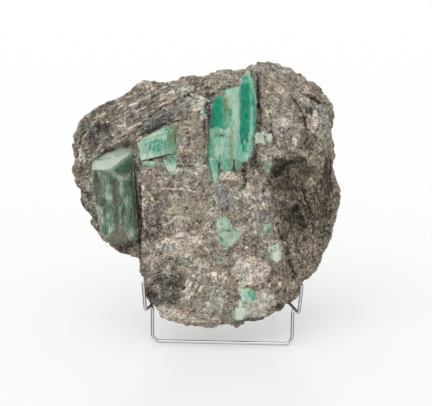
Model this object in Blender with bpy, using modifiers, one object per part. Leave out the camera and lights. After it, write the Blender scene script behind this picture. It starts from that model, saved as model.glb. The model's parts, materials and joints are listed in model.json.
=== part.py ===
"""Emeralds in a block of mica schist, leaning on a display stand bent from chromed wire.

Metres, +Z up, the showing face towards -Y. The specimen is drawn in its own plane and in
millimetres: u to the right, w up, and relief out of the rock towards the viewer. One empty
leans that plane back onto the stand, and a second empty places the stand.
"""

import math

import bmesh
import bpy
import numpy as np
from mathutils import Matrix, Vector, kdtree, noise

MM = 0.001
OBJECT_NAME = "emerald_in_matrix"

# Where the specimen's plane sits in the world
LEAN = math.radians(15.0)
TURN = math.radians(2.0)
ROLL = math.radians(0.6)
SPECIMEN_PLACE = Vector((1.2, -23.2, -1.9)) * MM
STAND_PLACE = Vector((12.5, -23.2, 0.0)) * MM

# The wire stand
WIRE_RADIUS = 1.2
WIRE_SIDES = 8
FACET_REACH = WIRE_RADIUS * math.cos(math.pi / WIRE_SIDES)
FACET_TILT = math.pi / WIRE_SIDES
BEND_STEPS = 5
LEDGE_HEIGHT = 25.0
LEDGE_FRONT = -15.0
LEDGE_BACK = 34.8
LEDGE_SPREAD_FRONT = 48.8
LEDGE_SPREAD_BACK = 33.6
HOOK_RISE = 19.0
HOOK_FLARE = 1.5
HOOK_BEND = 2.2
BACK_TOP = 112.0
BACK_BEND = 14.0
FRONT_FOOT_Y = -6.0
FOOT_SPREAD = 45.0
FOOT_BEND = 5.0
REAR_FOOT_Y = 63.0
REAR_JOIN_HEIGHT = 76.0
WELD_GAP = 0.3

# The schist block: its outline seen from the front, clockwise from the upper left
OUTLINE = (
    (-44.0, 169.5), (-39.5, 171.5), (-34.5, 170.5), (-29.0, 172.0), (-19.5, 173.0),
    (-9.5, 174.0), (0.0, 173.5), (6.0, 176.0), (11.0, 178.0), (22.5, 178.5),
    (29.0, 180.5), (34.5, 181.5), (43.5, 182.0), (50.0, 180.0), (55.0, 177.5),
    (61.5, 175.5), (66.0, 173.0), (74.5, 166.5), (79.5, 159.0), (83.0, 154.0),
    (84.0, 146.0), (83.0, 138.5), (84.0, 128.0), (85.5, 119.0), (86.5, 107.0),
    (88.0, 98.0), (87.5, 93.0), (85.5, 84.0), (84.0, 75.0), (82.0, 67.0),
    (79.5, 62.5), (77.0, 56.0), (76.0, 51.5), (70.0, 43.5), (65.5, 38.5),
    (62.5, 33.5), (57.0, 28.0), (52.0, 24.5), (46.5, 21.0), (37.0, 16.0),
    (29.0, 13.5), (20.0, 11.5), (11.0, 11.0), (1.5, 9.5), (-6.5, 12.5),
    (-19.5, 15.0), (-28.0, 18.0), (-30.5, 21.0), (-33.0, 25.0), (-36.0, 30.0),
    (-38.5, 37.0), (-40.5, 46.0), (-42.0, 52.5), (-43.5, 55.5), (-48.5, 56.0),
    (-55.0, 59.0), (-60.5, 63.0), (-65.0, 67.0), (-69.5, 71.0), (-73.0, 75.0),
    (-74.5, 80.0), (-77.0, 85.0), (-80.0, 90.5), (-82.5, 95.0), (-84.5, 101.5),
    (-85.5, 109.0), (-85.5, 119.0), (-86.0, 130.5), (-85.0, 137.0), (-82.5, 143.5),
    (-79.0, 148.5), (-73.5, 152.5), (-66.5, 156.5), (-58.5, 159.0), (-51.5, 162.5),
)
HEART = (0.0, 96.0)

# Depth of the rim behind the specimen's plane, by direction from the heart in degrees
RIM_DEPTH = (
    (-180, 2), (-160, -2), (-140, -8), (-120, -13), (-100, -10), (-80, -8), (-60, -4),
    (-45, 0), (-25, 7), (0, 9), (30, 9), (60, 8), (90, 8), (120, 7), (150, 5), (180, 2),
)
# How square the front edge is, from 2 for an ellipse to 9 for a near corner
EDGE_SQUARENESS = (
    (-180, 4.0), (-150, 4.5), (-138, 8.0), (-115, 8.0), (-95, 5.0), (-60, 4.0),
    (0, 3.5), (45, 4.0), (100, 4.0), (140, 3.6), (180, 4.0),
)
BACK_SQUARENESS = 3.2
BACK_DEPTH = 25.0
BASE_RELIEF = 18.0
RIM_START = 0.80  # share of the way from the heart to the outline at which the rim begins

# Underside of the block: where it hangs between the ledges, and how its back rises
HANG_INSET = 2.5
HANG_SLOPE = 2.2
OVERHANG_START = -15.0
OVERHANG_DROP = 30.0
UNDERSIDE_HEIGHT = 10.0
UNDERSIDE_START = -6.0
UNDERSIDE_SLOPE = 0.75

# Planes and hollows of the showing face, later ones over earlier ones:
# outline, a point on the plane with its relief, its slopes right and up, and its edge's width
FACE_PLANES = (
    # upper left band, falling back to the top edge
    (((-90, 128), (-76, 145), (-57, 160), (-35, 170), (0, 178), (9, 176), (3, 160),
      (-9.5, 150), (-22, 141.5), (-41.5, 133), (-55, 128), (-74, 116), (-88, 112)),
     (-45, 132, 19.0), (0.26, -0.50), 7.0),
    # smooth wall over the tall crystal
    (((-2, 170), (11, 182), (30, 184), (27, 172), (22, 168), (15, 164), (8, 163), (2, 158)),
     (14, 166, 17.0), (0.0, -0.75), 4.0),
    # rough pale mass at the upper right
    (((34.5, 184), (56, 182), (76, 168), (82, 146), (75, 128), (60, 117), (41, 113),
      (33, 118), (34, 156)),
     (48, 142, 21.5), (-0.16, -0.12), 4.0),
    # broad central panel
    (((-46, 112), (-44, 98), (-44, 70), (-46, 52), (-42, 30), (-30, 16), (-3, 5), (24, 7),
      (42, 16), (54, 27), (56, 39), (51.5, 61), (48.5, 77), (46, 96), (40, 108), (30, 116),
      (22, 112), (6, 118), (-15, 120), (-30, 118)),
     (5, 70, 24.0), (-0.03, 0.03), 5.0),
    # lip of the panel that rounds under at the lower right
    (((25, 4), (58, 24), (52, 34), (36, 23), (25, 18)),
     (44, 24, 15.0), (-0.35, 0.55), 6.0),
    # dark flank falling away to the right
    (((49.5, 104), (58, 98), (72, 110), (90, 110), (90, 60), (66, 34), (56, 30), (54, 44),
      (52, 60), (49, 77)),
     (50, 75, 21.0), (-0.50, 0.03), 4.0),
    # cavity below the pale mass
    (((42, 113), (50, 119), (62, 119), (70, 112), (62, 103), (51, 99), (45, 104)),
     (55, 110, 10.5), (-0.15, 0.30), 5.0),
    # pit in the flank
    (((56, 86), (61, 92), (68, 85), (67, 75), (60, 72), (55, 79)),
     (61, 82, 9.0), (-0.45, 0.0), 5.0),
    # long crack beside the panel
    (((51, 72), (53.5, 71), (55.2, 60), (57.5, 47), (55.5, 46.5), (53, 58)),
     (54, 60, 10.0), (-0.10, 0.0), 1.6),
    # left lobe, a step below the panel
    (((-92, 116), (-88, 90), (-74, 64), (-50, 50), (-40.5, 52), (-40.5, 84), (-42.5, 104),
      (-43.5, 128), (-50, 131), (-64, 124), (-76, 114)),
     (-65, 98, 7.5), (0.05, 0.02), 2.0),
    # dark hollow inside the upper left band
    (((-80, 128), (-74, 138), (-63, 141), (-60, 133), (-68, 127), (-76, 119)),
     (-70, 131, 6.5), (0.10, -0.10), 4.0),
    # shelf left of the big crystal
    (((-90, 112), (-77, 112), (-76, 92), (-70, 66), (-76, 60), (-92, 88)),
     (-80, 95, 5.0), (0.15, 0.0), 3.0),
    # rubble under the big crystal
    (((-63, 72), (-44, 77), (-41, 56), (-50, 50), (-66, 58)),
     (-52, 64, 11.0), (0.12, 0.12), 3.0),
    # brown block between the middle and the tall crystals
    (((-18, 121.5), (-17.5, 132), (-14, 142), (-11, 149), (-5.5, 153), (1.0, 154),
      (2.8, 140), (2, 120), (-9, 119.5)),
     (-7, 136, 27.0), (0.0, -0.14), 2.0),
    # shaded seat under that block
    (((-22, 119.5), (2, 119), (3, 114), (-20, 114)),
     (-8, 118, 21.0), (0.0, -0.30), 3.0),
    # seat of the tall crystal
    (((2, 120), (4, 158), (10, 164), (20, 168), (25, 176), (31, 179), (35, 168), (34, 120),
      (24, 110), (6, 108)),
     (18, 140, 17.5), (0.05, -0.08), 1.8),
    # beige knob under the tall crystal
    (((8, 110), (12, 112), (22, 110), (23, 104), (14, 101), (7, 104)),
     (15, 107, 26.0), (0.0, 0.0), 3.0),
)
# Flat breaks that trim the block behind its outline: direction in degrees, how far the break
# faces back, and the room it leaves to the outline
BREAKS = (
    (8, 0.62, 1.0), (41, 0.48, 0.5), (68, 0.70, 0.0), (97, 0.52, 1.0), (128, 0.66, 0.5),
    (158, 0.45, 0.5), (186, 0.72, 0.0), (212, 0.55, 3.0), (236, 0.45, 6.0), (262, 0.30, 7.0),
    (292, 0.42, 6.0), (318, 0.50, 4.0), (342, 0.74, 1.0), (20, 0.92, -1.0), (110, 0.94, -2.0),
    (200, 0.93, 2.0), (275, 0.90, 17.0),
)
CHIP_LAYERS = ((17.0, 0.11, 11), (7.5, 0.14, 12))  # spacing, tilt and seed of the broken facets
SWELLS = ((34.0, 1.5, 3), (13.0, 0.8, 5))  # size, height and seed of the slow swelling
BAND_RIBS = (3.6, 0.8)  # spacing and height of the foliation ribs in the upper left band
FLANK_RIBS = (4.4, 0.7)  # the same on the right flank
ROUGHNESS_RANGE = (-2.4, 1.3)
RIM_TRIM = 0.6  # how much the swelling is held in round the outline
SPHERE_SUBDIVISIONS = 7
REMESH_VOXEL = 1.35
ROCK_SHARE_KEPT = 0.0765

# Space left round whatever is set into the rock
POCKET_GAP = 0.3

# Making of the crystals
BLANK_SIZE = 200.0
CUT_TOLERANCE = 1e-4
CORNER_MERGE = 0.02

# Directions of the foliation, and the width over which it fades
BAND_DIRECTION = math.radians(30.0)
FLANK_DIRECTION = math.radians(98.0)
FOLIATION_FADE = 6.0

SCHIST = (0.17, 0.145, 0.125, 1.0)
EMERALD_DEEP = (0.02, 0.36, 0.22, 1.0)
EMERALD_SOFT = (0.16, 0.44, 0.32, 1.0)
EMERALD_GREY = (0.17, 0.30, 0.23, 1.0)
EMERALD_PALE = (0.50, 0.68, 0.60, 1.0)
CHROME = (0.72, 0.73, 0.75, 1.0)

# Crystals: colour, then the prisms that grew together, each as its convex outline, the relief
# of its root, and its front faces as (u, w, relief, slope right, slope up)
CRYSTALS = {
    "emerald_tall": (EMERALD_DEEP, (
        (((22.4, 166), (24, 169.8), (27.8, 175.4), (31, 168.6), (32.9, 156), (32.4, 140),
          (31.2, 132), (29.8, 118.6), (25.6, 117.4), (23, 109.2), (21.6, 112), (21.8, 140)),
         12.0,
         ((26, 140, 25.2, 0.10, -0.01), (29.4, 140, 25.5, -1.0, 0.0),
          (26, 168, 25.2, 0.10, -0.55))),
        (((4.8, 158), (12, 163.6), (17, 164.2), (23, 166.4), (23.6, 112), (18.6, 113.6),
          (16.2, 110.8), (12.2, 110.4), (3.6, 111), (2.4, 118), (2.6, 130), (3.6, 142)),
         12.2,
         ((9, 130, 22.6, 0.05, -0.02), (18, 140, 23.6, 0.28, -0.01),
          (4.4, 130, 22.3, 1.1, 0.0), (12, 158, 22.4, 0.10, -0.30))),
        (((3.0, 118), (12.6, 118), (9.0, 112.6), (6.6, 101.4), (3.6, 109.6)),
         12.4,
         ((7, 110, 22.8, -0.10, 0.0), (4.6, 110, 22.4, 0.9, 0.15))),
    )),
    "emerald_left": (EMERALD_GREY, (
        (((-73.3, 118), (-70, 120.5), (-55, 126.8), (-48.5, 126.8), (-46, 123.8),
          (-43.6, 92), (-42.6, 71), (-46, 67), (-60, 64), (-66.3, 72), (-70, 90),
          (-72.6, 106)),
         2.0,
         ((-60, 95, 18.0, 0.12, 0.0), (-54.5, 95, 18.5, -0.34, 0.0),
          (-68, 95, 16.9, 1.3, 0.0), (-62, 112.2, 17.8, 0.10, -0.75),
          (-54.5, 109, 18.5, -0.43, -0.32), (-60, 68, 17.0, 0.05, 0.75))),
    )),
    "emerald_middle": (EMERALD_SOFT, (
        (((-42.3, 129.5), (-38, 133), (-28, 138.5), (-19, 139.8), (-18.6, 123), (-24, 121.6),
          (-40.5, 117.8), (-41.5, 123)),
         14.0,
         ((-33, 125, 25.0, 0.04, -0.05), (-30, 132, 25.0, 0.28, -0.95),
          (-23.6, 126, 24.9, -0.85, 0.0))),
    )),
    "emerald_middle_sliver": (EMERALD_SOFT, (
        (((-39.6, 117.2), (-36, 117.4), (-30, 117.4), (-31, 114.5), (-36, 113.6),
          (-39, 115.6)),
         16.0,
         ((-35, 116, 24.6, 0.05, 0.35),)),
    )),
    "emerald_middle_chips": (EMERALD_SOFT, (
        (((-28.6, 118), (-24, 121), (-18.2, 121.8), (-17.6, 114.6), (-18.6, 109.4),
          (-24, 109.4), (-25.6, 114)),
         15.0,
         ((-22, 116, 26.2, 0.05, -0.15), (-22, 113, 26.2, 0.0, 0.20))),
    )),
    "emerald_centre": (EMERALD_SOFT, (
        (((7.2, 80.5), (13.5, 82.6), (17.0, 78), (18.6, 70), (8.6, 70), (7.0, 75)),
         14.0,
         ((12, 77, 26.6, -0.08, -0.12), (8, 74, 26.4, 0.5, 0.0))),
        (((8.0, 71.5), (18, 74.5), (23.4, 72.2), (21.6, 68), (17, 63.6), (13.4, 62.2),
          (10.2, 65)),
         14.2,
         ((15, 70, 27.0, -0.12, 0.14), (19, 69, 26.8, -0.40, 0.25), (12, 72, 27.0, 0.1, -0.5))),
    )),
    "emerald_lower_right": (EMERALD_SOFT, (
        (((21.6, 35), (24, 37.2), (29, 37), (32.4, 34), (32.2, 29.4), (29, 27.8), (24, 28.4)),
         12.0,
         ((28, 33, 26.2, 0.10, -0.10), (30.5, 32, 26.2, -0.35, 0.10))),
    )),
    "emerald_bottom_edge": (EMERALD_PALE, (
        (((20, 24.6), (26.6, 25), (26.4, 20), (24, 16.4), (20.4, 16.6), (19, 20)),
         10.0,
         ((23, 21, 24.4, 0.0, 0.35),)),
    )),
    "emerald_right_small": (EMERALD_SOFT, (
        (((37.6, 77.6), (42, 77.6), (42.6, 73), (41, 71), (38.4, 71.4), (37.2, 74)),
         14.0,
         ((40, 74, 25.6, 0.05, 0.10),)),
    )),
    "emerald_right_pale": (EMERALD_PALE, (
        (((42.4, 62), (46.4, 62.8), (48.6, 60), (48.4, 55.4), (45.6, 53.2), (42.6, 55)),
         14.0,
         ((45.5, 58, 25.4, -0.10, 0.05),)),
    )),
    "beryl_pale": (EMERALD_PALE, (
        (((31.8, 134.6), (36, 136.8), (43, 135.6), (43.4, 130.2), (38.8, 128.2),
          (32, 128.4)),
         14.0,
         ((36, 132, 26.0, -0.10, -0.10), (40, 132, 25.8, -0.25, 0.05))),
    )),
}


def clear_scene():
    for old in list(bpy.data.objects):
        bpy.data.objects.remove(old, do_unlink=True)


def make_collection(name, shown=True):
    made = bpy.data.collections.new(name)
    bpy.context.scene.collection.children.link(made)
    made.hide_render = not shown
    return made


def make_material(name, colour, roughness, metallic=0.0):
    made = bpy.data.materials.new(name)
    made.use_nodes = True
    shader = made.node_tree.nodes["Principled BSDF"]
    shader.inputs["Base Color"].default_value = colour
    shader.inputs["Roughness"].default_value = roughness
    shader.inputs["Metallic"].default_value = metallic
    made.diffuse_color = colour
    return made


def object_from_bmesh(name, work, collection, parent, material=None):
    mesh = bpy.data.meshes.new(name)
    work.to_mesh(mesh)
    work.free()
    made = bpy.data.objects.new(name, mesh)
    collection.objects.link(made)
    made.parent = parent
    if material:
        mesh.materials.append(material)
    return made


def make_cutter(cutter):
    """Keeps a cutting shape out of the render and out of the solids."""
    cutter.hide_render = True
    cutter.display_type = "WIRE"
    return cutter


def subtract(target, cutter):
    cut = target.modifiers.new("Pocket " + cutter.name, "BOOLEAN")
    cut.operation = "DIFFERENCE"
    cut.solver = "EXACT"
    cut.object = cutter


def smooth_step(value):
    held = np.clip(value, 0.0, 1.0)
    return held * held * (3.0 - 2.0 * held)


def outline_distance(u, w, corners):
    """Distance from each (u, w) to a closed outline, negative inside it."""
    nearest = np.full(len(u), np.inf)
    inside = np.zeros(len(u), bool)
    for (u0, w0), (u1, w1) in zip(corners, corners[1:] + corners[:1]):
        du, dw = u1 - u0, w1 - w0
        run = np.clip(((u - u0) * du + (w - w0) * dw) / (du * du + dw * dw), 0.0, 1.0)
        nearest = np.minimum(nearest, np.hypot(u - u0 - run * du, w - w0 - run * dw))
        if dw:
            inside ^= ((w0 > w) != (w1 > w)) & (u < u0 + (w - w0) * du / dw)
    return np.where(inside, -nearest, nearest)


def by_direction(table, degrees):
    """Reads a table of (direction, value) pairs, joined by straight runs."""
    keys, values = zip(*table)
    return np.interp(degrees, keys, values)


def reach_of_outline(degrees):
    """Distance from the heart to the outline in each direction."""
    corners = np.array(OUTLINE) - HEART
    keys = np.degrees(np.arctan2(corners[:, 1], corners[:, 0]))
    order = np.argsort(keys)
    return np.interp(degrees, keys[order], np.hypot(*corners[order].T), period=360.0)


def face_relief(u, w):
    """Relief of the showing face before its rim is rounded."""
    relief = np.full(len(u), BASE_RELIEF)
    for corners, (u0, w0, height), (slope_u, slope_w), edge in FACE_PLANES:
        share = smooth_step(0.5 - outline_distance(u, w, corners) / edge)
        plane = height + slope_u * (u - u0) + slope_w * (w - w0)
        relief += (plane - relief) * share
    return relief


def rim_profile(fall, squareness):
    """Share of the reach and of the depth, for a fall of 0 at the middle and 1 at the rim."""
    outer = np.clip((fall - RIM_START) / (1.0 - RIM_START), 0.0, 1.0)
    start = np.arcsin(RIM_START ** (squareness / 2.0))
    angle = start + (math.pi / 2.0 - start) * outer
    curved_share = np.sin(angle) ** (2.0 / squareness)
    share = np.where(fall < RIM_START, fall, curved_share)
    depth = np.clip(1.0 - share ** squareness, 0.0, 1.0) ** (1.0 / squareness)
    return share, depth


def ledge_clearance(u, y, w):
    """Raises the underside so that it sits on the ledges and hangs only between them."""
    world_y = y * math.cos(LEAN) + (LEDGE_HEIGHT - SPECIMEN_PLACE.z / MM) * math.sin(LEAN)
    along = np.clip((world_y - LEDGE_FRONT) / (LEDGE_BACK - LEDGE_FRONT), 0.0, 1.0)
    spread = LEDGE_SPREAD_FRONT + (LEDGE_SPREAD_BACK - LEDGE_SPREAD_FRONT) * along
    wire_top = LEDGE_HEIGHT + WIRE_RADIUS + POCKET_GAP - SPECIMEN_PLACE.z / MM
    seat = (wire_top + y * math.sin(LEAN)) / math.cos(LEAN)
    centre = (STAND_PLACE.x - SPECIMEN_PLACE.x) / MM
    inside = np.maximum(spread - HANG_INSET - np.abs(u - centre), 0.0)
    overhang = np.where(y < OVERHANG_START, OVERHANG_DROP, 0.0)
    lowest = seat - HANG_SLOPE * inside - overhang
    underside = UNDERSIDE_HEIGHT + UNDERSIDE_SLOPE * np.maximum(y - UNDERSIDE_START, 0.0)
    return np.maximum(w, np.maximum(lowest, underside))


def chipped(points, spacing, tilt, seed):
    """Height of broken facets: each cell between random seeds is a plane of its own tilt."""
    rng = np.random.default_rng(seed)
    low, high = points.min(axis=0), points.max(axis=0)
    count = int(np.prod((high - low) / spacing)) + 1
    seeds = rng.uniform(low, high, (count, 3))
    tilts = rng.normal(0.0, tilt, (count, 3))
    tree = kdtree.KDTree(count)
    for index, place in enumerate(seeds):
        tree.insert(place, index)
    tree.balance()
    nearest = np.array([tree.find(place)[1] for place in points])
    return np.einsum("ij,ij->i", points - seeds[nearest], tilts[nearest])


def swell(points, size, height, seed):
    shift = Vector((seed * 7.1, seed * 3.7, seed * 5.3))
    return np.array([height * noise.noise(Vector(place) / size + shift) for place in points])


def ribs(u, w, direction, spacing, height, seed):
    """Foliation: uneven ribs that run along a direction in the specimen's plane."""
    across = w * math.cos(direction) - u * math.sin(direction)
    along = w * math.sin(direction) + u * math.cos(direction)
    waves = [
        noise.noise(Vector((a / spacing, b / (spacing * 9.0), seed * 4.7)))
        for a, b in zip(across, along)
    ]
    return height * np.array(waves)


def trim_back(points):
    """Flattens what stands behind each of the breaks, up to the outline's own edge."""
    around = np.arange(0.0, 360.0, 3.0)
    reach = reach_of_outline(around)
    edge_u = HEART[0] + reach * np.cos(np.radians(around))
    edge_w = HEART[1] + reach * np.sin(np.radians(around))
    edge_y = by_direction(RIM_DEPTH, (around + 180.0) % 360.0 - 180.0)
    edge = np.column_stack((edge_u, edge_y, edge_w))
    for degrees, backward, room in BREAKS:
        sideways = math.sqrt(1.0 - backward * backward)
        angle = math.radians(degrees)
        facing = np.array((sideways * math.cos(angle), backward, sideways * math.sin(angle)))
        beyond = points @ facing - (edge @ facing).max() - room
        points = points - np.outer(np.maximum(beyond, 0.0), facing)
    return points


def rock_points(directions):
    """Points of the schist block, in the specimen's millimetres, for directions on a sphere."""
    degrees = np.degrees(np.arctan2(directions[:, 2], directions[:, 0]))
    towards_front = directions[:, 1] < 0.0
    fall = np.arccos(np.clip(np.abs(directions[:, 1]), 0.0, 1.0)) / (math.pi / 2.0)
    squareness = np.where(towards_front, by_direction(EDGE_SQUARENESS, degrees), BACK_SQUARENESS)
    share, depth = rim_profile(fall, squareness)
    reach = reach_of_outline(degrees) * share
    u = HEART[0] + reach * np.cos(np.radians(degrees))
    w = HEART[1] + reach * np.sin(np.radians(degrees))
    rim = by_direction(RIM_DEPTH, degrees)
    front = rim - (face_relief(u, w) + rim) * depth
    back = rim + (BACK_DEPTH - rim) * depth
    y = np.where(towards_front, front, back)
    w = ledge_clearance(u, y, w)
    return trim_back(np.column_stack((u, y, w)))


def roughen(points, normals):
    """Adds swelling, broken facets and foliation along the normals."""
    lift = np.zeros(len(points))
    for size, height, seed in SWELLS:
        lift += swell(points, size, height, seed)
    for spacing, tilt, seed in CHIP_LAYERS:
        lift += chipped(points, spacing, tilt, seed)
    u, w = points[:, 0], points[:, 2]
    band = outline_distance(u, w, FACE_PLANES[0][0])
    band_share = smooth_step(0.5 - band / FOLIATION_FADE)
    lift += ribs(u, w, BAND_DIRECTION, *BAND_RIBS, 1) * band_share
    flank = outline_distance(u, w, FACE_PLANES[5][0])
    flank_share = smooth_step(0.5 - flank / FOLIATION_FADE)
    lift += ribs(u, w, FLANK_DIRECTION, *FLANK_RIBS, 2) * flank_share
    sideways = np.hypot(normals[:, 0], normals[:, 2])
    lift = np.clip(lift, *ROUGHNESS_RANGE) - RIM_TRIM * sideways ** 2
    return points + normals * lift[:, None]


def vertex_array(mesh, name="co"):
    values = np.empty(len(mesh.vertices) * 3)
    if name == "co":
        mesh.vertices.foreach_get("co", values)
    else:
        mesh.vertex_normals.foreach_get("vector", values)
    return values.reshape(-1, 3)


def build_matrix(collection, parent, material):
    """The schist block: a sphere drawn out to the outline, then roughened and thinned."""
    work = bmesh.new()
    bmesh.ops.create_icosphere(work, subdivisions=SPHERE_SUBDIVISIONS, radius=1.0)
    block = object_from_bmesh("matrix", work, collection, parent, material)
    mesh = block.data
    shaped = rock_points(vertex_array(mesh))
    mesh.vertices.foreach_set("co", (shaped * MM).ravel())
    mesh.update()
    rough = roughen(shaped, vertex_array(mesh, "normals"))
    mesh.vertices.foreach_set("co", (rough * MM).ravel())
    mesh.update()
    even = block.modifiers.new("Even faces", "REMESH")
    even.mode = "VOXEL"
    even.voxel_size = REMESH_VOXEL * MM
    thin = block.modifiers.new("Fewer faces", "DECIMATE")
    thin.ratio = ROCK_SHARE_KEPT
    return block


def prism_bmesh(prism, grow):
    """A convex prism cut from a block by its side planes, its root and its front faces."""
    outline, root, faces = prism
    centre = Vector((sum(u for u, _ in outline), 0.0, sum(w for _, w in outline))) / len(outline)
    work = bmesh.new()
    bmesh.ops.create_cube(work, size=BLANK_SIZE, matrix=Matrix.Translation(centre))
    planes = [(Vector((0.0, -root, 0.0)), Vector((0.0, 1.0, 0.0)))]
    for (u0, w0), (u1, w1) in zip(outline, outline[1:] + outline[:1]):
        outward = Vector((w0 - w1, 0.0, u1 - u0)).normalized()
        if outward.dot(Vector((u0, 0.0, w0)) - centre) < 0.0:
            outward = -outward
        planes.append((Vector((u0, 0.0, w0)), outward))
    for u0, w0, relief, slope_u, slope_w in faces:
        outward = Vector((-slope_u, -1.0, -slope_w)).normalized()
        planes.append((Vector((u0, -relief, w0)), outward))
    for point, outward in planes:
        everything = list(work.verts) + list(work.edges) + list(work.faces)
        cut = bmesh.ops.bisect_plane(
            work,
            geom=everything,
            dist=CUT_TOLERANCE,
            plane_co=point + outward * grow,
            plane_no=outward,
            clear_outer=True,
        )
        rim = [item for item in cut["geom_cut"] if isinstance(item, bmesh.types.BMEdge)]
        if rim:
            bmesh.ops.edgenet_fill(work, edges=rim)
    bmesh.ops.remove_doubles(work, verts=work.verts, dist=CORNER_MERGE)
    bmesh.ops.recalc_face_normals(work, faces=work.faces)
    bmesh.ops.scale(work, vec=(MM, MM, MM), verts=work.verts)
    return work


def crystal_object(name, prisms, grow, collection, cutters, parent, material=None):
    """A crystal as one solid: its prisms are joined when it has several."""
    first, *others = prisms
    crystal = object_from_bmesh(name, prism_bmesh(first, grow), collection, parent, material)
    for index, prism in enumerate(others, 2):
        piece_name = f"{name}_prism_{index}"
        piece = object_from_bmesh(piece_name, prism_bmesh(prism, grow), cutters, parent)
        join = crystal.modifiers.new(f"Join prism {index}", "BOOLEAN")
        join.operation = "UNION"
        join.solver = "EXACT"
        join.object = make_cutter(piece)
    return crystal


def build_crystals(collection, cutters, parent):
    """Every crystal, and a slightly larger copy that cuts its pocket."""
    pockets = []
    for name, (colour, prisms) in CRYSTALS.items():
        material = make_material(name, colour, 0.25)
        crystal_object(name, prisms, 0.0, collection, cutters, parent, material)
        pocket_name = "pocket_" + name
        pocket = crystal_object(pocket_name, prisms, POCKET_GAP, cutters, cutters, parent)
        pockets.append(pocket)
    return pockets


def rounded_path(corners, radii, steps=BEND_STEPS):
    """A wire's centre line: straight runs joined by arcs of the given bend radii."""
    path = [Vector(corners[0])]
    for before, corner, after, radius in zip(corners, corners[1:], corners[2:], radii):
        corner = Vector(corner)
        arriving = (Vector(before) - corner).normalized()
        leaving = (Vector(after) - corner).normalized()
        half = arriving.angle(leaving) / 2.0
        set_back = radius / math.tan(half)
        middle = corner + (arriving + leaving).normalized() * radius / math.sin(half)
        start = corner + arriving * set_back - middle
        turn = start.rotation_difference(corner + leaving * set_back - middle)
        for step in range(steps + 1):
            arc = start.copy()
            arc.rotate(Matrix.Rotation(turn.angle * step / steps, 3, turn.axis))
            path.append(middle + arc)
    path.append(Vector(corners[-1]))
    return path


def wire(name, path, radius, collection, parent, tilt=FACET_TILT, material=None):
    curve = bpy.data.curves.new(name, "CURVE")
    curve.dimensions = "3D"
    curve.bevel_depth = radius * MM
    curve.bevel_resolution = 2
    curve.use_fill_caps = True
    spline = curve.splines.new("POLY")
    spline.points.add(len(path) - 1)
    for point, place in zip(spline.points, path):
        point.co = (*(place * MM), 1.0)
        point.tilt = tilt
    made = bpy.data.objects.new(name, curve)
    collection.objects.link(made)
    made.parent = parent
    if material:
        curve.materials.append(material)
    return made


def mesh_from_curve(made, collection):
    """A welded mesh in a curve's place, so that a Boolean can use it."""
    bpy.context.view_layer.update()
    graph = bpy.context.evaluated_depsgraph_get()
    mesh = bpy.data.meshes.new_from_object(made.evaluated_get(graph))
    work = bmesh.new()
    work.from_mesh(mesh)
    bmesh.ops.remove_doubles(work, verts=work.verts, dist=1e-6)
    bmesh.ops.recalc_face_normals(work, faces=work.faces)
    work.to_mesh(mesh)
    work.free()
    solid = bpy.data.objects.new("solid_" + made.name, mesh)
    collection.objects.link(solid)
    solid.matrix_world = made.matrix_world
    bpy.data.objects.remove(made, do_unlink=True)
    return solid


def cradle_path():
    """One wire: hook, ledge, back upright and over to the other side."""
    rise = (BACK_TOP - LEDGE_HEIGHT) * math.tan(LEAN)
    hook_tip = LEDGE_HEIGHT + HOOK_RISE
    left = [
        (-LEDGE_SPREAD_FRONT - HOOK_FLARE, LEDGE_FRONT, hook_tip),
        (-LEDGE_SPREAD_FRONT, LEDGE_FRONT, LEDGE_HEIGHT),
        (-LEDGE_SPREAD_BACK, LEDGE_BACK, LEDGE_HEIGHT),
        (-LEDGE_SPREAD_BACK, LEDGE_BACK + rise, BACK_TOP),
    ]
    right = [(-x, y, z) for x, y, z in reversed(left)]
    bends = (HOOK_BEND, FOOT_BEND, BACK_BEND, BACK_BEND, FOOT_BEND, HOOK_BEND)
    return rounded_path(left + right, bends)


def foot_path(spread, bar_y, top_y, top_height, table_height):
    corners = (
        (-spread, top_y, top_height),
        (-spread, bar_y, table_height),
        (spread, bar_y, table_height),
        (spread, top_y, top_height),
    )
    return rounded_path(corners, (FOOT_BEND, FOOT_BEND))


def build_stand(collection, cutters, parent):
    """The cradle and its two feet, and fatter copies that clear their way past the rock."""
    chrome = make_material("chrome", CHROME, 0.12, 1.0)
    under_ledge = LEDGE_HEIGHT - WIRE_RADIUS - WELD_GAP
    upright_y = LEDGE_BACK + (REAR_JOIN_HEIGHT - LEDGE_HEIGHT) * math.tan(LEAN)
    behind = upright_y + 2.0 * WIRE_RADIUS + WELD_GAP
    splay = math.atan2(REAR_FOOT_Y - behind, REAR_JOIN_HEIGHT - FACET_REACH)
    wires = {
        "cradle_wire": (cradle_path(), FACET_TILT),
        "front_foot": (
            foot_path(FOOT_SPREAD, FRONT_FOOT_Y, FRONT_FOOT_Y, under_ledge, FACET_REACH),
            FACET_TILT,
        ),
        "rear_foot": (
            foot_path(LEDGE_SPREAD_BACK, REAR_FOOT_Y, behind, REAR_JOIN_HEIGHT, FACET_REACH),
            FACET_TILT - splay,
        ),
    }
    ways = []
    for name, (path, tilt) in wires.items():
        wire(name, path, WIRE_RADIUS, collection, parent, tilt, chrome)
        way = wire("way_" + name, path, WIRE_RADIUS + POCKET_GAP, cutters, parent, tilt)
        ways.append(mesh_from_curve(way, cutters))
    return ways


def make_empty(name, collection, location, rotation):
    made = bpy.data.objects.new(name, None)
    collection.objects.link(made)
    made.location = location
    made.rotation_euler = rotation.to_euler()
    return made


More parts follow.
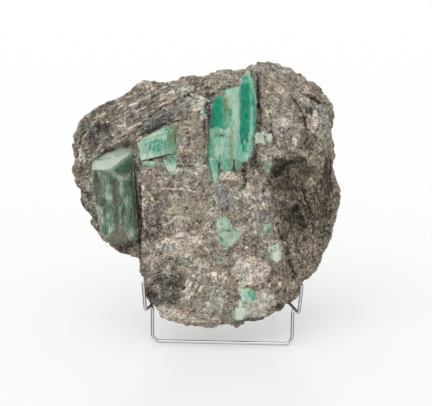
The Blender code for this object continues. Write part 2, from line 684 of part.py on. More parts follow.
def main():
    clear_scene()
    shown = make_collection(OBJECT_NAME)
    cutters = make_collection("cutters", shown=False)
    turned = Matrix.Rotation(TURN, 3, "Z")
    facing = turned @ Matrix.Rotation(-LEAN, 3, "X") @ Matrix.Rotation(-ROLL, 3, "Y")
    specimen = make_empty("specimen_place", shown, SPECIMEN_PLACE, facing)
    stand = make_empty("stand_place", shown, STAND_PLACE, Matrix.Identity(3))
    block = build_matrix(shown, specimen, make_material("schist", SCHIST, 0.75))
    pockets = build_crystals(shown, cutters, specimen)
    pockets.extend(build_stand(shown, cutters, stand))
    for pocket in pockets:
        subtract(block, make_cutter(pocket))


main()
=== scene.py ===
"""Emeralds in a block of mica schist, leaning on a chromed wire stand, in a white studio.

Metres, +Z up, the showing face towards -Y. The specimen is drawn in its own plane and in
millimetres: u to the right, w up and y into the rock. SpecimenPlane carries it into the world.
"""

import json
import logging
import math
from dataclasses import dataclass
from enum import Enum
from typing import Any, NamedTuple

import bmesh
import bpy
import numpy as np
from mathutils import Matrix, Vector, kdtree, noise

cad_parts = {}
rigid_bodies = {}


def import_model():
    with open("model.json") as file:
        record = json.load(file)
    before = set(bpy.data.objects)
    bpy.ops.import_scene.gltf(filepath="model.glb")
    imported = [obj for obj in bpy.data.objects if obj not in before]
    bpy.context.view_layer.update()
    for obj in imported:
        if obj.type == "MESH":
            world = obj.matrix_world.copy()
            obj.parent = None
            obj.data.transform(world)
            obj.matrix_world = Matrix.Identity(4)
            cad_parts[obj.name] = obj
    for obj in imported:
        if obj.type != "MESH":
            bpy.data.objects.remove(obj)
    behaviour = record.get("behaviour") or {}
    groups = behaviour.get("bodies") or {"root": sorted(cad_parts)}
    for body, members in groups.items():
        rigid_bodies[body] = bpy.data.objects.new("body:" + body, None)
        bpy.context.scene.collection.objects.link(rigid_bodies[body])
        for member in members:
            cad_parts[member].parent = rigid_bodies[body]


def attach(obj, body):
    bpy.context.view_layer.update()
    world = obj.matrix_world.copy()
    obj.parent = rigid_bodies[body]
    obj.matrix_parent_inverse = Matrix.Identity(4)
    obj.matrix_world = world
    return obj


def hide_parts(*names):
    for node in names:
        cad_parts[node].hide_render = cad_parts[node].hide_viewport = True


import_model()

MM = 0.001
BODY = "root"
BLANK_SIZE = 200.0  # millimetres, more than any crystal
LOG = logging.getLogger("emerald_in_matrix")

Pair = tuple[float, float]
Triple = tuple[float, float, float]
Colour = Triple
Outline = tuple[Pair, ...]
Table = tuple[Pair, ...]
Values = np.ndarray
Mesh = bpy.types.Mesh
Thing = bpy.types.Object
Material = bpy.types.Material


# ---- shapes in the plane


def smooth_step(value: Values) -> Values:
    """Eases 0 to 1 over the range 0 to 1, and holds outside it."""
    held = np.clip(value, 0.0, 1.0)
    return held * held * (3.0 - 2.0 * held)


def path_distance(u: Values, w: Values, corners: Outline) -> Values:
    """Distance from points to an open path.

    Args:
        u: The points' places to the right.
        w: Their heights.
        corners: The path's corners in order.

    Returns:
        The distance of each point to the nearest stretch of the path.
    """
    nearest = np.full(len(u), np.inf)
    for (u0, w0), (u1, w1) in zip(corners, corners[1:]):
        du, dw = u1 - u0, w1 - w0
        run = np.clip(((u - u0) * du + (w - w0) * dw) / (du * du + dw * dw), 0.0, 1.0)
        nearest = np.minimum(nearest, np.hypot(u - u0 - run * du, w - w0 - run * dw))
    return nearest


def outline_distance(u: Values, w: Values, corners: Outline) -> Values:
    """Distance from points to a closed outline, negative inside it.

    Args:
        u: The points' places to the right.
        w: Their heights.
        corners: The outline's corners in order.

    Returns:
        The signed distance of each point.
    """
    inside = np.zeros(len(u), bool)
    for (u0, w0), (u1, w1) in zip(corners, corners[1:] + corners[:1]):
        if w1 != w0:
            inside ^= ((w0 > w) != (w1 > w)) & (u < u0 + (w - w0) * (u1 - u0) / (w1 - w0))
    nearest = path_distance(u, w, corners + corners[:1])
    return np.where(inside, -nearest, nearest)


def by_direction(table: Table, degrees: Values) -> Values:
    """Reads a table of (direction, value) pairs, joined by straight runs."""
    keys, values = zip(*table)
    return np.interp(degrees, keys, values)


def lumps(points: Values, size: float | Triple, seed: int) -> Values:
    """Smooth noise from about -1 to 1.

    Args:
        points: The places, one row each.
        size: The size of a lump, or one size for each axis.
        seed: Which of the endless patterns.

    Returns:
        The noise at each place.
    """
    shift = np.array((seed * 7.1, seed * 3.7, seed * 5.3))
    places = points / np.broadcast_to(size, (3,)) + shift
    return np.array([noise.noise(place) for place in places.tolist()])


class Patch(NamedTuple):
    """A soft ellipse on the showing face."""

    u: float
    w: float
    reach_u: float
    reach_w: float
    strength: float
    turn: float = 0.0

    def share(self, u: Values, w: Values) -> Values:
        """The patch's strength at each point, half of it at its edge."""
        angle = math.radians(self.turn)
        du, dw = u - self.u, w - self.w
        along = (du * math.cos(angle) + dw * math.sin(angle)) / self.reach_u
        across = (dw * math.cos(angle) - du * math.sin(angle)) / self.reach_w
        return self.strength * smooth_step(1.5 - np.hypot(along, across))


class Area(NamedTuple):
    """A region of the showing face inside an outline."""

    outline: Outline
    strength: float
    edge: float

    def share(self, u: Values, w: Values) -> Values:
        """The area's strength at each point, half of it on its outline."""
        return self.strength * inward(u, w, self.outline, self.edge)


class Crack(NamedTuple):
    """A groove along a path on the showing face."""

    path: Outline
    width: float
    depth: float

    def share(self, u: Values, w: Values) -> Values:
        """1 on the crack's line and 0 past its width."""
        return smooth_step(1.0 - path_distance(u, w, self.path) / self.width)


Marks = tuple[Patch | Area, ...]


def patches(*rows: tuple[Any, ...]) -> Marks:
    """Patches from rows of place, reach, strength and turn in degrees, and areas from outlines.

    Args:
        rows: Five or six numbers for a patch; an outline, a strength and an edge for an area.

    Returns:
        The patches and areas.
    """
    return tuple(Area(*row) if len(row) == len(Area._fields) else Patch(*row) for row in rows)


def cracks(*rows: tuple[Outline, float, float]) -> tuple[Crack, ...]:
    """Cracks from rows of path, width and depth."""
    return tuple(Crack(*row) for row in rows)


def total_share(group: Marks, u: Values, w: Values) -> Values:
    """All the patches and areas of a group together."""
    found = np.zeros(len(u))
    for mark in group:
        found = np.maximum(found, mark.share(u, w))
    return found


def inward(u: Values, w: Values, corners: Outline, edge: float) -> Values:
    """1 inside an outline and 0 outside it, blended over the width of its edge."""
    return smooth_step(0.5 - outline_distance(u, w, corners) / edge)


def toward(side: float, height: float) -> Vector:
    """The direction to a place on the dome, by its angles round from the viewer and up."""
    level = math.cos(height)
    return Vector((level * math.sin(side), -level * math.cos(side), math.sin(height)))


@dataclass(frozen=True)
class SpecimenPlane:
    """How the specimen's own plane stands in the world."""

    place: Triple = (1.2, -23.2, -1.9)
    lean: float = math.radians(15.0)
    turn: float = math.radians(2.0)
    roll: float = math.radians(0.6)

    def turned(self) -> Matrix:
        """The rotation from the specimen's axes to the world's."""
        about_z = Matrix.Rotation(self.turn, 3, "Z")
        about_x = Matrix.Rotation(-self.lean, 3, "X")
        return about_z @ about_x @ Matrix.Rotation(-self.roll, 3, "Y")

    def to_world(self, points: Values) -> Values:
        """World places in metres for points in the specimen's millimetres."""
        return (points @ np.array(self.turned()).T + self.place) * MM

    def from_world(self, points: Values) -> Values:
        """The specimen's millimetres for world places in millimetres."""
        return (points - self.place) @ np.array(self.turned())


# ---- meshes


class Workshop:
    """Makes and reads the meshes that the pieces are built from."""

    def __init__(self) -> None:
        """Sets up the collections that hold the pieces and the shapes that cut them."""
        self.shown = self.collection("emerald_in_matrix")
        self.tools = self.collection("cutters")
        self.tools.hide_render = True

    @staticmethod
    def collection(name: str) -> bpy.types.Collection:
        """A new collection in the scene."""
        made = bpy.data.collections.new(name)
        bpy.context.scene.collection.children.link(made)
        return made

    def tool(self, name: str, work: bmesh.types.BMesh) -> Thing:
        """A helper object, kept out of the render.

        Args:
            name: Its name.
            work: Its shape in the specimen's millimetres, which is freed.

        Returns:
            The new object.
        """
        mesh = bpy.data.meshes.new(name)
        work.to_mesh(mesh)
        work.free()
        made = bpy.data.objects.new(name, mesh)
        made.display_type = "WIRE"
        self.tools.objects.link(made)
        return made

    @staticmethod
    def settled(made: Thing) -> Mesh:
        """A new mesh with the object's modifiers applied."""
        bpy.context.view_layer.update()
        graph = bpy.context.evaluated_depsgraph_get()
        mesh = bpy.data.meshes.new_from_object(made.evaluated_get(graph))
        mesh.name = made.name
        return mesh

    def piece(self, name: str, mesh: Mesh, slot: str) -> Thing:
        """A finished piece that rides on the body.

        Args:
            name: The piece's name.
            mesh: Its mesh, in world metres.
            slot: The record's material slot, which is not used.

        Returns:
            The new object, at the origin.
        """
        made = bpy.data.objects.new(name, mesh)
        self.shown.objects.link(made)
        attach(made, BODY)
        faces = sum(len(face.vertices) - 2 for face in mesh.polygons)
        LOG.info("%s: %d triangles", name, faces)
        return made

    @staticmethod
    def places(mesh: Mesh) -> Values:
        """The mesh's vertex places, one row each."""
        found = np.empty(len(mesh.vertices) * 3)
        mesh.vertices.foreach_get("co", found)
        return found.reshape(-1, 3)

    @staticmethod
    def normals(mesh: Mesh) -> Values:
        """The mesh's vertex normals, one row each."""
        found = np.empty(len(mesh.vertices) * 3)
        mesh.vertex_normals.foreach_get("vector", found)
        return found.reshape(-1, 3)

    @staticmethod
    def move(mesh: Mesh, places: Values) -> None:
        """Puts the mesh's vertices at new places."""
        mesh.vertices.foreach_set("co", np.ascontiguousarray(places, np.float32).ravel())
        mesh.update()

    @staticmethod
    def stain(mesh: Mesh, name: str, values: Values) -> None:
        """Stores one number a vertex under a name that the material reads."""
        layer = mesh.attributes.new(name, "FLOAT", "POINT")
        layer.data.foreach_set("value", np.ascontiguousarray(values, np.float32))

    @staticmethod
    def dress(mesh: Mesh, material: Material) -> None:
        """Shades every face smooth and gives the mesh its one material."""
        mesh.polygons.foreach_set("use_smooth", np.ones(len(mesh.polygons), bool))
        mesh.materials.clear()
        mesh.materials.append(material)


def combine(target: Thing, other: Thing, how: str, solver: str) -> None:
    """Adds a Boolean to the target: how is UNION or DIFFERENCE."""
    made = target.modifiers.new(f"{how} {other.name}", "BOOLEAN")
    made.operation = how
    made.solver = solver
    made.object = other


# ---- materials


class Nodes:
    """A tree of shader nodes, laid out through short calls."""

    def __init__(self, tree: bpy.types.NodeTree) -> None:
        """Takes up the tree."""
        self.tree = tree

    def node(self, kind: str, inputs: dict[Any, Any] | None = None, **settings: Any) -> Any:
        """A new node.

        Args:
            kind: Blender's name of the node's type, after ShaderNode.
            inputs: Values or other nodes' sockets, by input name or index.
            settings: The node's own settings.

        Returns:
            The node.
        """
        made = self.tree.nodes.new(f"ShaderNode{kind}")
        for key, value in settings.items():
            setattr(made, key, value)
        self.feed(made, inputs or {})
        return made

    def feed(self, target: Any, inputs: dict[Any, Any]) -> None:
        """Sets or links a node's inputs."""
        for key, value in inputs.items():
            socket = target.inputs[key]
            if isinstance(value, bpy.types.NodeSocket):
                self.tree.links.new(value, socket)
            else:
                socket.default_value = (*value, 1.0) if socket.type == "RGBA" else value

    def sum(self, how: str, first: Any, second: Any) -> Any:
        """The result of a sum, product or the like of two numbers."""
        inputs = {0: first, 1: second}
        return self.node("Math", inputs, operation=how).outputs[0]

    def times(self, first: Any, second: Any) -> Any:
        """The product of two numbers."""
        return self.sum("MULTIPLY", first, second)

    def step(self, value: Any, low: float, high: float, start: float = 0, end: float = 1) -> Any:
        """start below low, end above high, and smooth between them."""
        inputs = {"Value": value, "From Min": low, "From Max": high, "To Min": start, "To Max": end}
        found = self.node("MapRange", inputs, interpolation_type="SMOOTHSTEP")
        return found.outputs["Result"]


class Bench(Nodes):
    """The nodes of one material."""

    def __init__(self, name: str) -> None:
        """Starts a material with a Principled shader and the piece's own coordinates."""
        self.material = bpy.data.materials.new(name)
        self.material.use_nodes = True
        super().__init__(self.material.node_tree)
        self.shader = self.tree.nodes["Principled BSDF"]
        self.place = self.node("TexCoord").outputs["Object"]

    def dress(self, inputs: dict[str, Any]) -> None:
        """Sets or links the shader's inputs."""
        self.feed(self.shader, inputs)

    def grid(self, sizes: float | Triple, turn: Triple = (0.0, 0.0, 0.0)) -> Any:
        """Coordinates that count in steps of the given size.

        Args:
            sizes: A step's size in millimetres, or one for each turned axis.
            turn: The axes' turn in degrees.

        Returns:
            The vector socket.
        """
        steps = tuple(float(size) * MM for size in np.broadcast_to(sizes, (3,)))
        angles = tuple(math.radians(angle) for angle in turn)
        inputs = {"Vector": self.place, "Rotation": angles, "Scale": steps}
        return self.node("Mapping", inputs, vector_type="TEXTURE").outputs[0]

    def noise(self, vector: Any, scale: float, detail: float, rough: float = 0.6) -> Any:
        """The value of a fractal noise."""
        inputs = {"Vector": vector, "Scale": scale, "Detail": detail, "Roughness": rough}
        return self.node("TexNoise", inputs).outputs["Fac"]

    def bent(self, vector: Any, scale: float, amount: float) -> Any:
        """Coordinates pushed about by a noise.

        Args:
            vector: The coordinates.
            scale: How fine the noise is.
            amount: How far it pushes, in the coordinates' own steps.

        Returns:
            The new vector socket.
        """
        inputs = {"Vector": vector, "Scale": scale, "Detail": 3.0}
        push = self.node("TexNoise", inputs).outputs["Color"]
        centred = self.vector("SUBTRACT", push, (0.5, 0.5, 0.5))
        scaled = self.vector("SCALE", centred, amount)
        return self.vector("ADD", vector, scaled)

    def vector(self, how: str, first: Any, second: Any = None) -> Any:
        """The result of a vector sum, product or the like."""
        inputs: dict[Any, Any] = {0: first}
        if how == "SCALE":
            inputs["Scale"] = second
        elif second is not None:
            inputs[1] = second
        return self.node("VectorMath", inputs, operation=how).outputs[0]

    def cells(self, vector: Any, scale: float, feature: str = "F1") -> Any:
        """A Voronoi node."""
        inputs = {"Vector": vector, "Scale": scale}
        return self.node("TexVoronoi", inputs, feature=feature)

    def parts(self, colour: Any) -> Any:
        """The three numbers of a colour, each an output socket."""
        return self.node("SeparateColor", {"Color": colour}).outputs

    def speckled(self, vector: Any, size: float) -> Any:
        """Three chance numbers for each cell of a size, each an output socket."""
        return self.parts(self.cells(vector, 1.0 / size).outputs["Color"])

    def weigh(self, start: float, *parts: tuple[Any, float]) -> Any:
        """start plus each part less its middle of 0.5, times its weight."""
        found: Any = start
        for part, weight in parts:
            inputs = {0: part, 1: weight, 2: -0.5 * weight}
            centred = self.node("Math", inputs, operation="MULTIPLY_ADD").outputs[0]
            found = self.sum("ADD", found, centred)
        return found

    def add_up(self, start: Any, *parts: tuple[Any, float]) -> Any:
        """start plus each part times its weight."""
        found = start
        for part, weight in parts:
            inputs = {0: part, 1: weight, 2: found}
            found = self.node("Math", inputs, operation="MULTIPLY_ADD").outputs[0]
        return found

    def ramp(self, value: Any, *stops: tuple[float, Colour]) -> Any:
        """A colour read from stops of (value, colour)."""
        made = self.node("ValToRGB", {"Fac": value})
        elements = made.color_ramp.elements
        while len(elements) < len(stops):
            elements.new(0.5)
        for element, (position, colour) in zip(elements, stops):
            element.position = position
            element.color = (*colour, 1.0)
        return made.outputs["Color"]

    def mix(self, share: Any, first: Any, second: Any, how: str = "MIX") -> Any:
        """A blend of two colours."""
        inputs = {0: share, 6: first, 7: second}
        settings = {"data_type": "RGBA", "blend_type": how}
        return self.node("Mix", inputs, **settings).outputs[2]

    def mask(self, name: str) -> Any:
        """A number that the mesh holds at each vertex."""
        return self.node("Attribute", attribute_name=name).outputs["Fac"]

    def broken(self, name: str, ragged: Any, spread: float = 0.5) -> Any:
        """A mask whose edge is broken up by a noise."""
        wide = self.weigh(0.0, (ragged, 2.0 * spread))
        return self.step(self.sum("ADD", self.mask(name), wide), 0.25, 0.75)

    def relief(self, height: Any, depth: float, strength: float, normal: Any = None) -> Any:
        """A bump of the given depth in millimetres."""
        inputs = {"Height": height, "Distance": depth * MM, "Strength": strength}
        if normal is not None:
            inputs["Normal"] = normal
        return self.node("Bump", inputs).outputs["Normal"]


@dataclass(frozen=True)
class SchistFinish:
    """Grainy mica schist: dark mica, grey-brown ground, beige and pink feldspar, glints."""

    name: str = "mica_schist"
    black: Colour = (0.022, 0.017, 0.013)
    umber: Colour = (0.1, 0.082, 0.064)
    ground: Colour = (0.262, 0.232, 0.19)
    beige: Colour = (0.43, 0.385, 0.318)
    pink: Colour = (0.66, 0.6, 0.52)
    white: Colour = (0.9, 0.85, 0.78)
    warm: Colour = (1.05, 0.99, 0.91)
    cool: Colour = (0.97, 1.0, 1.02)
    olive: Colour = (0.345, 0.315, 0.225)
    slate: Colour = (0.265, 0.272, 0.255)
    mint: Colour = (0.37, 0.47, 0.375)
    rust: Colour = (0.32, 0.2, 0.13)
    grain: float = 2.1
    crumb: float = 1.25
    speck: float = 0.7
    spot: float = 6.5
    middle: float = 0.462
    mauve: Colour = (1.02, 0.97, 0.99)
    moss: Colour = (0.98, 1.01, 0.93)
    lean: float = -15.0
    band_turn: float = -31.0
    flank_turn: float = -97.0

    def wisps(self, bench: Bench, vector: Any, scale: float, width: float) -> Any:
        """Thin curved lines, 1 on a line and 0 past its width."""
        wave = bench.sum("SUBTRACT", bench.noise(vector, scale, 4.0, 0.62), 0.5)
        return bench.step(bench.sum("ABSOLUTE", wave, 0.0), width, 0.0)

    def streak(self, bench: Bench, sizes: Triple, turn: float, share: Any) -> Any:
        """Streaks along the foliation, from about -0.5 to 0.5, where the share allows them."""
        along = bench.bent(bench.grid(sizes, (self.lean, turn, 0.0)), 0.5, 0.4)
        return bench.times(bench.sum("SUBTRACT", bench.noise(along, 1.0, 4.0, 0.66), 0.5), share)

    def tone(self, bench: Bench, bent: Any, spots: Any, band: Any, flank: Any) -> tuple[Any, Any]:
        """How light each place is, and the height of its grain.

        Args:
            bench: The material's bench.
            bent: Coordinates in millimetres, pushed about.
            spots: Coordinates of the mineral patches.
            band: Share of the foliation of the upper left.
            flank: Share of the foliation of the right flank.

        Returns:
            The tone's and the height's sockets.
        """
        cloud = bench.noise(bent, 0.085, 3.0, 0.6)
        mottle = bench.noise(bent, 0.28, 2.0, 0.55)
        fine = bench.noise(bent, 1.2, 3.0, 0.75)
        spot = bench.speckled(spots, self.spot)
        rim = bench.cells(spots, 1.0 / self.spot, "DISTANCE_TO_EDGE").outputs["Distance"]
        grain, crumb, speck = (
            bench.speckled(bent, size) for size in (self.grain, self.crumb, self.speck)
        )
        in_band = self.streak(bench, (15.0, 1.1, 0.9), self.band_turn, band)
        in_flank = self.streak(bench, (12.0, 1.0, 0.8), self.flank_turn, flank)
        gate = bench.add_up(cloud, (bench.mask("pale"), 0.12), (flank, -0.3))
        pale_wisp = bench.times(self.wisps(bench, bent, 0.24, 0.045), bench.step(gate, 0.47, 0.6))
        hair = self.wisps(bench, bench.bent(bent, 0.6, 1.2), 0.45, 0.06)
        hair = bench.times(hair, bench.step(mottle, 0.46, 0.6))
        thread = self.wisps(bench, bench.bent(bent, 0.5, 1.6), 0.38, 0.04)
        thread = bench.times(thread, bench.step(mottle, 0.52, 0.4))
        dark_wisp = self.wisps(bench, bench.bent(bent, 0.3, 2.0), 0.15, 0.022)
        line = bench.step(rim, 0.04, 0.0)
        pale_rim = bench.times(line, bench.step(gate, 0.47, 0.58))
        dark_rim = bench.times(line, bench.step(mottle, 0.45, 0.36))
        flake = bench.step(crumb[2], 0.95, 0.965)
        chip = bench.step(crumb[1], 0.06, 0.04)
        even = bench.add_up(1.0, (bench.mask("olive"), -0.4), (flank, -0.25), (band, -0.58))
        swing = bench.weigh(
            0.0, (cloud, 0.3), (mottle, 0.08), (fine, 0.42), (spot[0], 0.05), (grain[0], 0.05),
            (crumb[0], 0.08), (speck[0], 0.32),
        )
        tone = bench.add_up(
            bench.sum("ADD", bench.times(swing, even), self.middle),
            (band, -0.055), (in_band, 1.95), (in_flank, 1.4), (pale_wisp, 0.34), (hair, 0.22),
            (thread, -0.13), (dark_wisp, -0.34), (pale_rim, 0.2), (dark_rim, -0.22),
            (flake, 0.24), (chip, -0.2),
        )
        height = bench.weigh(0.5, (mottle, 0.6), (grain[1], 0.4), (crumb[0], 0.5), (fine, 0.9))
        height = bench.add_up(
            height, (in_band, 2.4), (in_flank, 1.8), (pale_wisp, 0.3), (dark_wisp, -0.6),
            (pale_rim, 0.3), (dark_rim, -0.6), (flake, 0.3),
        )
        return tone, height

    def material(self) -> Material:
        """The material, which reads the masks of RockTones."""
        bench = Bench(self.name)
        plain = bench.grid(1.0)
        bent = bench.bent(bench.bent(plain, 0.12, 5.0), 0.9, 0.7)
        spots = bench.bent(bent, 0.3, 2.6)
        ragged = bench.noise(bent, 0.32, 5.0, 0.7)
        band, flank = bench.mask("band"), bench.mask("flank")
        tone, height = self.tone(bench, bent, spots, band, flank)
        # The dark mask is partly the rock's dark mica and partly painted shade in its pits,
        # hollows, gaps and turned-away rims.
        dark = bench.broken("dark", ragged, 0.45)
        pale = bench.broken("pale", ragged, 0.7)
        crumbly = bench.weigh(1.0, (bench.noise(bent, 0.75, 3.0, 0.7), 0.7))
        # Painted shade: the rock's colour is darkened along its cracks and the gaps beside the
        # crystals.
        crack_shade = bench.times(bench.mask("crack_shade"), bench.step(ragged, 0.12, 0.4))
        ledge = bench.times(bench.mask("ledge"), bench.step(ragged, 0.17, 0.45))
        # Painted shade: the hollows between the crumbs are darkened in this sum.
        tone = bench.add_up(
            tone, (dark, -0.27), (bench.times(pale, crumbly), 0.22),
            (bench.mask("hollow_shade"), -0.07), (crack_shade, -0.5), (ledge, 0.58),
        )
        colour = bench.ramp(
            tone, (0.0, self.black), (0.19, self.umber), (0.42, self.ground),
            (0.62, self.beige), (0.8, self.pink), (0.97, self.white),
        )
        hue = bench.add_up(bench.noise(bent, 0.09, 2.0, 0.5), (flank, -0.2))
        cast = bench.mix(bench.step(hue, 0.36, 0.64), self.warm, self.cool)
        colour = bench.mix(1.0, colour, cast, "MULTIPLY")
        kind = bench.speckled(spots, self.spot)
        for pick, tint in ((kind[1], self.mauve), (kind[2], self.moss)):
            share = bench.times(bench.step(pick, 0.55, 0.75), 0.6)
            colour = bench.mix(share, colour, bench.mix(1.0, colour, tint, "MULTIPLY"))
        lift = bench.ramp(tone, (0.05, (0.2, 0.2, 0.2)), (0.85, (1.8, 1.8, 1.8)))
        tints = (
            ("olive", self.olive, 0.75), ("slate", self.slate, 0.8),
            ("mint", self.mint, 0.85), ("rust", self.rust, 0.4),
        )
        for name, tint, strength in tints:
            share = bench.times(bench.broken(name, ragged, 0.55), strength)
            colour = bench.mix(share, colour, bench.mix(1.0, lift, tint, "MULTIPLY"))
        flakes = bench.cells(bench.bent(plain, 0.9, 0.5), 1.0).outputs["Color"]
        flake = bench.parts(flakes)
        glint = bench.step(flake[2], 0.8, 0.86)
        lean = bench.vector("SCALE", bench.vector("SUBTRACT", flakes, (0.5, 0.5, 0.5)), 0.5)
        facing = bench.node("NewGeometry").outputs["Normal"]
        tilted = bench.vector("NORMALIZE", bench.vector("ADD", facing, lean))
        bench.dress({
            "Base Color": colour,
            "Roughness": bench.add_up(0.64, (glint, -0.32), (pale, 0.05)),
            "IOR": 1.5,
            "Specular IOR Level": 0.45,
            "Normal": bench.relief(height, 0.34, 0.8, tilted),
        })
        return bench.material


class Green(Enum):
    """The kinds of emerald in the block, by the colour of their middle tone."""

    DEEP = "emerald_deep"
    GREY = "emerald_grey"
    SOFT = "emerald_soft"
    MIXED = "emerald_mixed"
    PALE = "emerald_pale"

    @property
    def slot(self) -> str:
        """The material slot, which the mixed crystals share with the soft ones."""
        return Green.SOFT.value if self is Green.MIXED else self.value


@dataclass(frozen=True)
class EmeraldFinish:
    """Cloudy emerald: colour in streaks along the crystal, veils, stains and a glassy skin."""

    kind: Green
    chalk: Colour
    milk: Colour
    body: Colour
    vivid: Colour
    deep: Colour
    base: float = 0.38
    veil: float = 1.0
    lean: float = -15.0
    axis: float = 90.0
    rough: float = 0.34
    heart: float = 1.0
    speck: float = 0.35
    stain: Colour = (0.108, 0.086, 0.056)
    dusk: Colour = (0.085, 0.08, 0.062)
    olive: Colour = (0.88, 0.74, 0.58)
    smoky: Colour = (0.6, 0.53, 0.48)
    bright: Colour = (0.11, 0.3, 0.2)
    crust: Colour = (0.4, 0.35, 0.265)

    def material(self) -> Material:
        """The material, which reads the masks of the crystals."""
        bench = Bench(self.kind.value)
        plain = bench.grid(1.0)
        bent = bench.bent(plain, 0.35, 1.2)
        turn = (self.lean, -self.axis, 0.0)
        lengthwise = bench.bent(bench.grid((15.0, 1.0, 1.0), turn), 0.5, 0.35)
        streak = bench.noise(lengthwise, 0.9, 4.0, 0.62)
        silk = bench.noise(bench.bent(bench.grid((9.0, 0.45, 0.45), turn), 0.4, 0.4), 1.0, 2.0)
        cloud = bench.noise(bent, 0.2, 5.0, 0.66)
        speck = bench.noise(bent, 1.3, 4.0, 0.7)
        along = bench.bent(bench.grid((8.0, 1.6, 1.6), turn), 0.5, 0.5)
        ragged = bench.noise(along, 1.0, 4.0, 0.7)
        wide = bench.noise(bench.grid((60.0, 4.5, 4.5), turn), 1.0, 3.0)
        deep = bench.broken("deep", ragged, 1.15)
        milky = bench.broken("milk", ragged, 1.1)
        veils = ((streak, 0.7), (silk, 0.45), (wide, 0.9), (cloud, 0.7))
        tone = bench.weigh(
            self.base, *((veil, weight * self.veil) for veil, weight in veils), (speck, self.speck)
        )
        tone = bench.add_up(tone, (deep, 0.12), (milky, -0.22))
        colour = bench.ramp(
            tone, (0.02, self.chalk), (0.26, self.milk), (0.5, self.body),
            (0.76, self.vivid), (1.0, self.deep),
        )
        calm = self.heart
        heart = bench.weigh(
            0.62, (streak, 2.2 * calm), (cloud, 2.0 * calm), (silk, 1.4 * calm), (speck, 0.5)
        )
        heart = bench.ramp(heart, (0.02, self.bright), (0.45, self.vivid), (0.98, self.deep))
        colour = bench.mix(deep, colour, heart)
        frost = bench.step(bench.add_up(bench.mask("milk"), (cloud, 0.8)), 1.3, 1.9)
        colour = bench.mix(bench.times(frost, 0.8), colour, self.chalk)
        veins = bench.cells(bench.bent(plain, 0.3, 3.4), 0.19, "DISTANCE_TO_EDGE")
        vein = bench.step(veins.outputs["Distance"], 0.03, 0.0)
        vein = bench.times(vein, bench.step(cloud, 0.42, 0.6))
        colour = bench.mix(bench.times(vein, 0.35), colour, self.milk)
        # Paler along the edges: the rubbed edges' own pale colour and a painted highlight along the
        # ridges.
        edge = bench.times(bench.mask("edge"), bench.step(speck, 0.3, 0.62))
        colour = bench.mix(bench.times(edge, 0.55), colour, self.chalk)
        olive = bench.broken("olive", ragged, 1.6)
        dusk = bench.broken("dusk", ragged, 0.9)
        for share, tint in ((olive, self.olive), (dusk, self.smoky)):
            colour = bench.mix(share, colour, bench.mix(1.0, colour, tint, "MULTIPLY"))
        colour = bench.mix(bench.times(dusk, 0.34), colour, self.dusk)
        dirt = bench.mix(bench.step(speck, 0.36, 0.6), self.stain, self.crust)
        stained = bench.broken("stain", ragged, 0.9)
        colour = bench.mix(bench.times(stained, 0.8), colour, dirt)
        crack = bench.times(bench.mask("crack"), bench.step(speck, 0.28, 0.5))
        colour = bench.mix(bench.times(crack, 0.6), colour, self.dusk)
        height = bench.weigh(0.5, (streak, 0.6), (silk, 0.5), (speck, 0.6), (cloud, 0.4))
        height = bench.add_up(height, (crack, -0.6), (vein, -0.15))
        worn = bench.weigh(self.rough, (speck, 0.4), (cloud, 0.3))
        bench.dress({
            "Base Color": colour,
            "Roughness": bench.add_up(worn, (stained, 0.3), (dusk, 0.1)),
            "IOR": 1.58,
            "Specular IOR Level": 0.18,
            "Subsurface Weight": 0.15,
            "Subsurface Radius": (0.35, 1.0, 0.7),
            "Subsurface Scale": 1.4 * MM,
            "Normal": bench.relief(height, 0.22, 0.6),
        })
        return bench.material


FINISHES = {
    Green.DEEP: EmeraldFinish(
        Green.DEEP, chalk=(0.43, 0.57, 0.46), milk=(0.215, 0.45, 0.338),
        body=(0.105, 0.37, 0.258), vivid=(0.003, 0.268, 0.155),
        bright=(0.02, 0.35, 0.218), deep=(0.001, 0.15, 0.082),
    ),
    Green.GREY: EmeraldFinish(
        Green.GREY, chalk=(0.59, 0.65, 0.56), milk=(0.25, 0.34, 0.262),
        body=(0.115, 0.178, 0.13), vivid=(0.062, 0.118, 0.078),
        bright=(0.085, 0.155, 0.105), crust=(0.205, 0.178, 0.138),
        deep=(0.02, 0.045, 0.026), base=0.47, veil=1.15,
    ),
    Green.SOFT: EmeraldFinish(
        Green.SOFT, chalk=(0.56, 0.64, 0.53), milk=(0.325, 0.49, 0.375),
        body=(0.165, 0.395, 0.275), vivid=(0.045, 0.29, 0.19),
        bright=(0.11, 0.38, 0.265), deep=(0.012, 0.15, 0.09), veil=0.8, heart=0.5,
    ),
    Green.MIXED: EmeraldFinish(
        Green.MIXED, chalk=(0.56, 0.62, 0.51), milk=(0.33, 0.45, 0.34),
        body=(0.19, 0.35, 0.245), vivid=(0.075, 0.25, 0.165),
        deep=(0.025, 0.12, 0.075), veil=0.9, speck=1.1, rough=0.45,
    ),
    Green.PALE: EmeraldFinish(
        Green.PALE, chalk=(0.62, 0.66, 0.57), milk=(0.4, 0.47, 0.38),
        body=(0.32, 0.43, 0.34), vivid=(0.18, 0.34, 0.25),
        deep=(0.09, 0.22, 0.16), base=0.3, rough=0.45, speck=0.9,
    ),
}


@dataclass(frozen=True)
class ChromeFinish:
    """Bright chrome with fine scuffs and a little haze."""

    name: str = "chrome"
    colour: Colour = (0.68, 0.69, 0.7)
    rough: float = 0.06

    def material(self) -> Material:
        """The material."""
        bench = Bench(self.name)
        haze = bench.noise(bench.grid(9.0), 1.0, 3.0)
        scuff = bench.noise(bench.grid((0.5, 0.5, 0.12)), 1.0, 3.0, 0.7)
        bench.dress({
            "Base Color": self.colour,
            "Metallic": 1.0,
            "Roughness": bench.weigh(self.rough, (haze, 0.1), (scuff, 0.12)),
            "Normal": bench.relief(scuff, 0.012, 0.35),
        })
        return bench.material


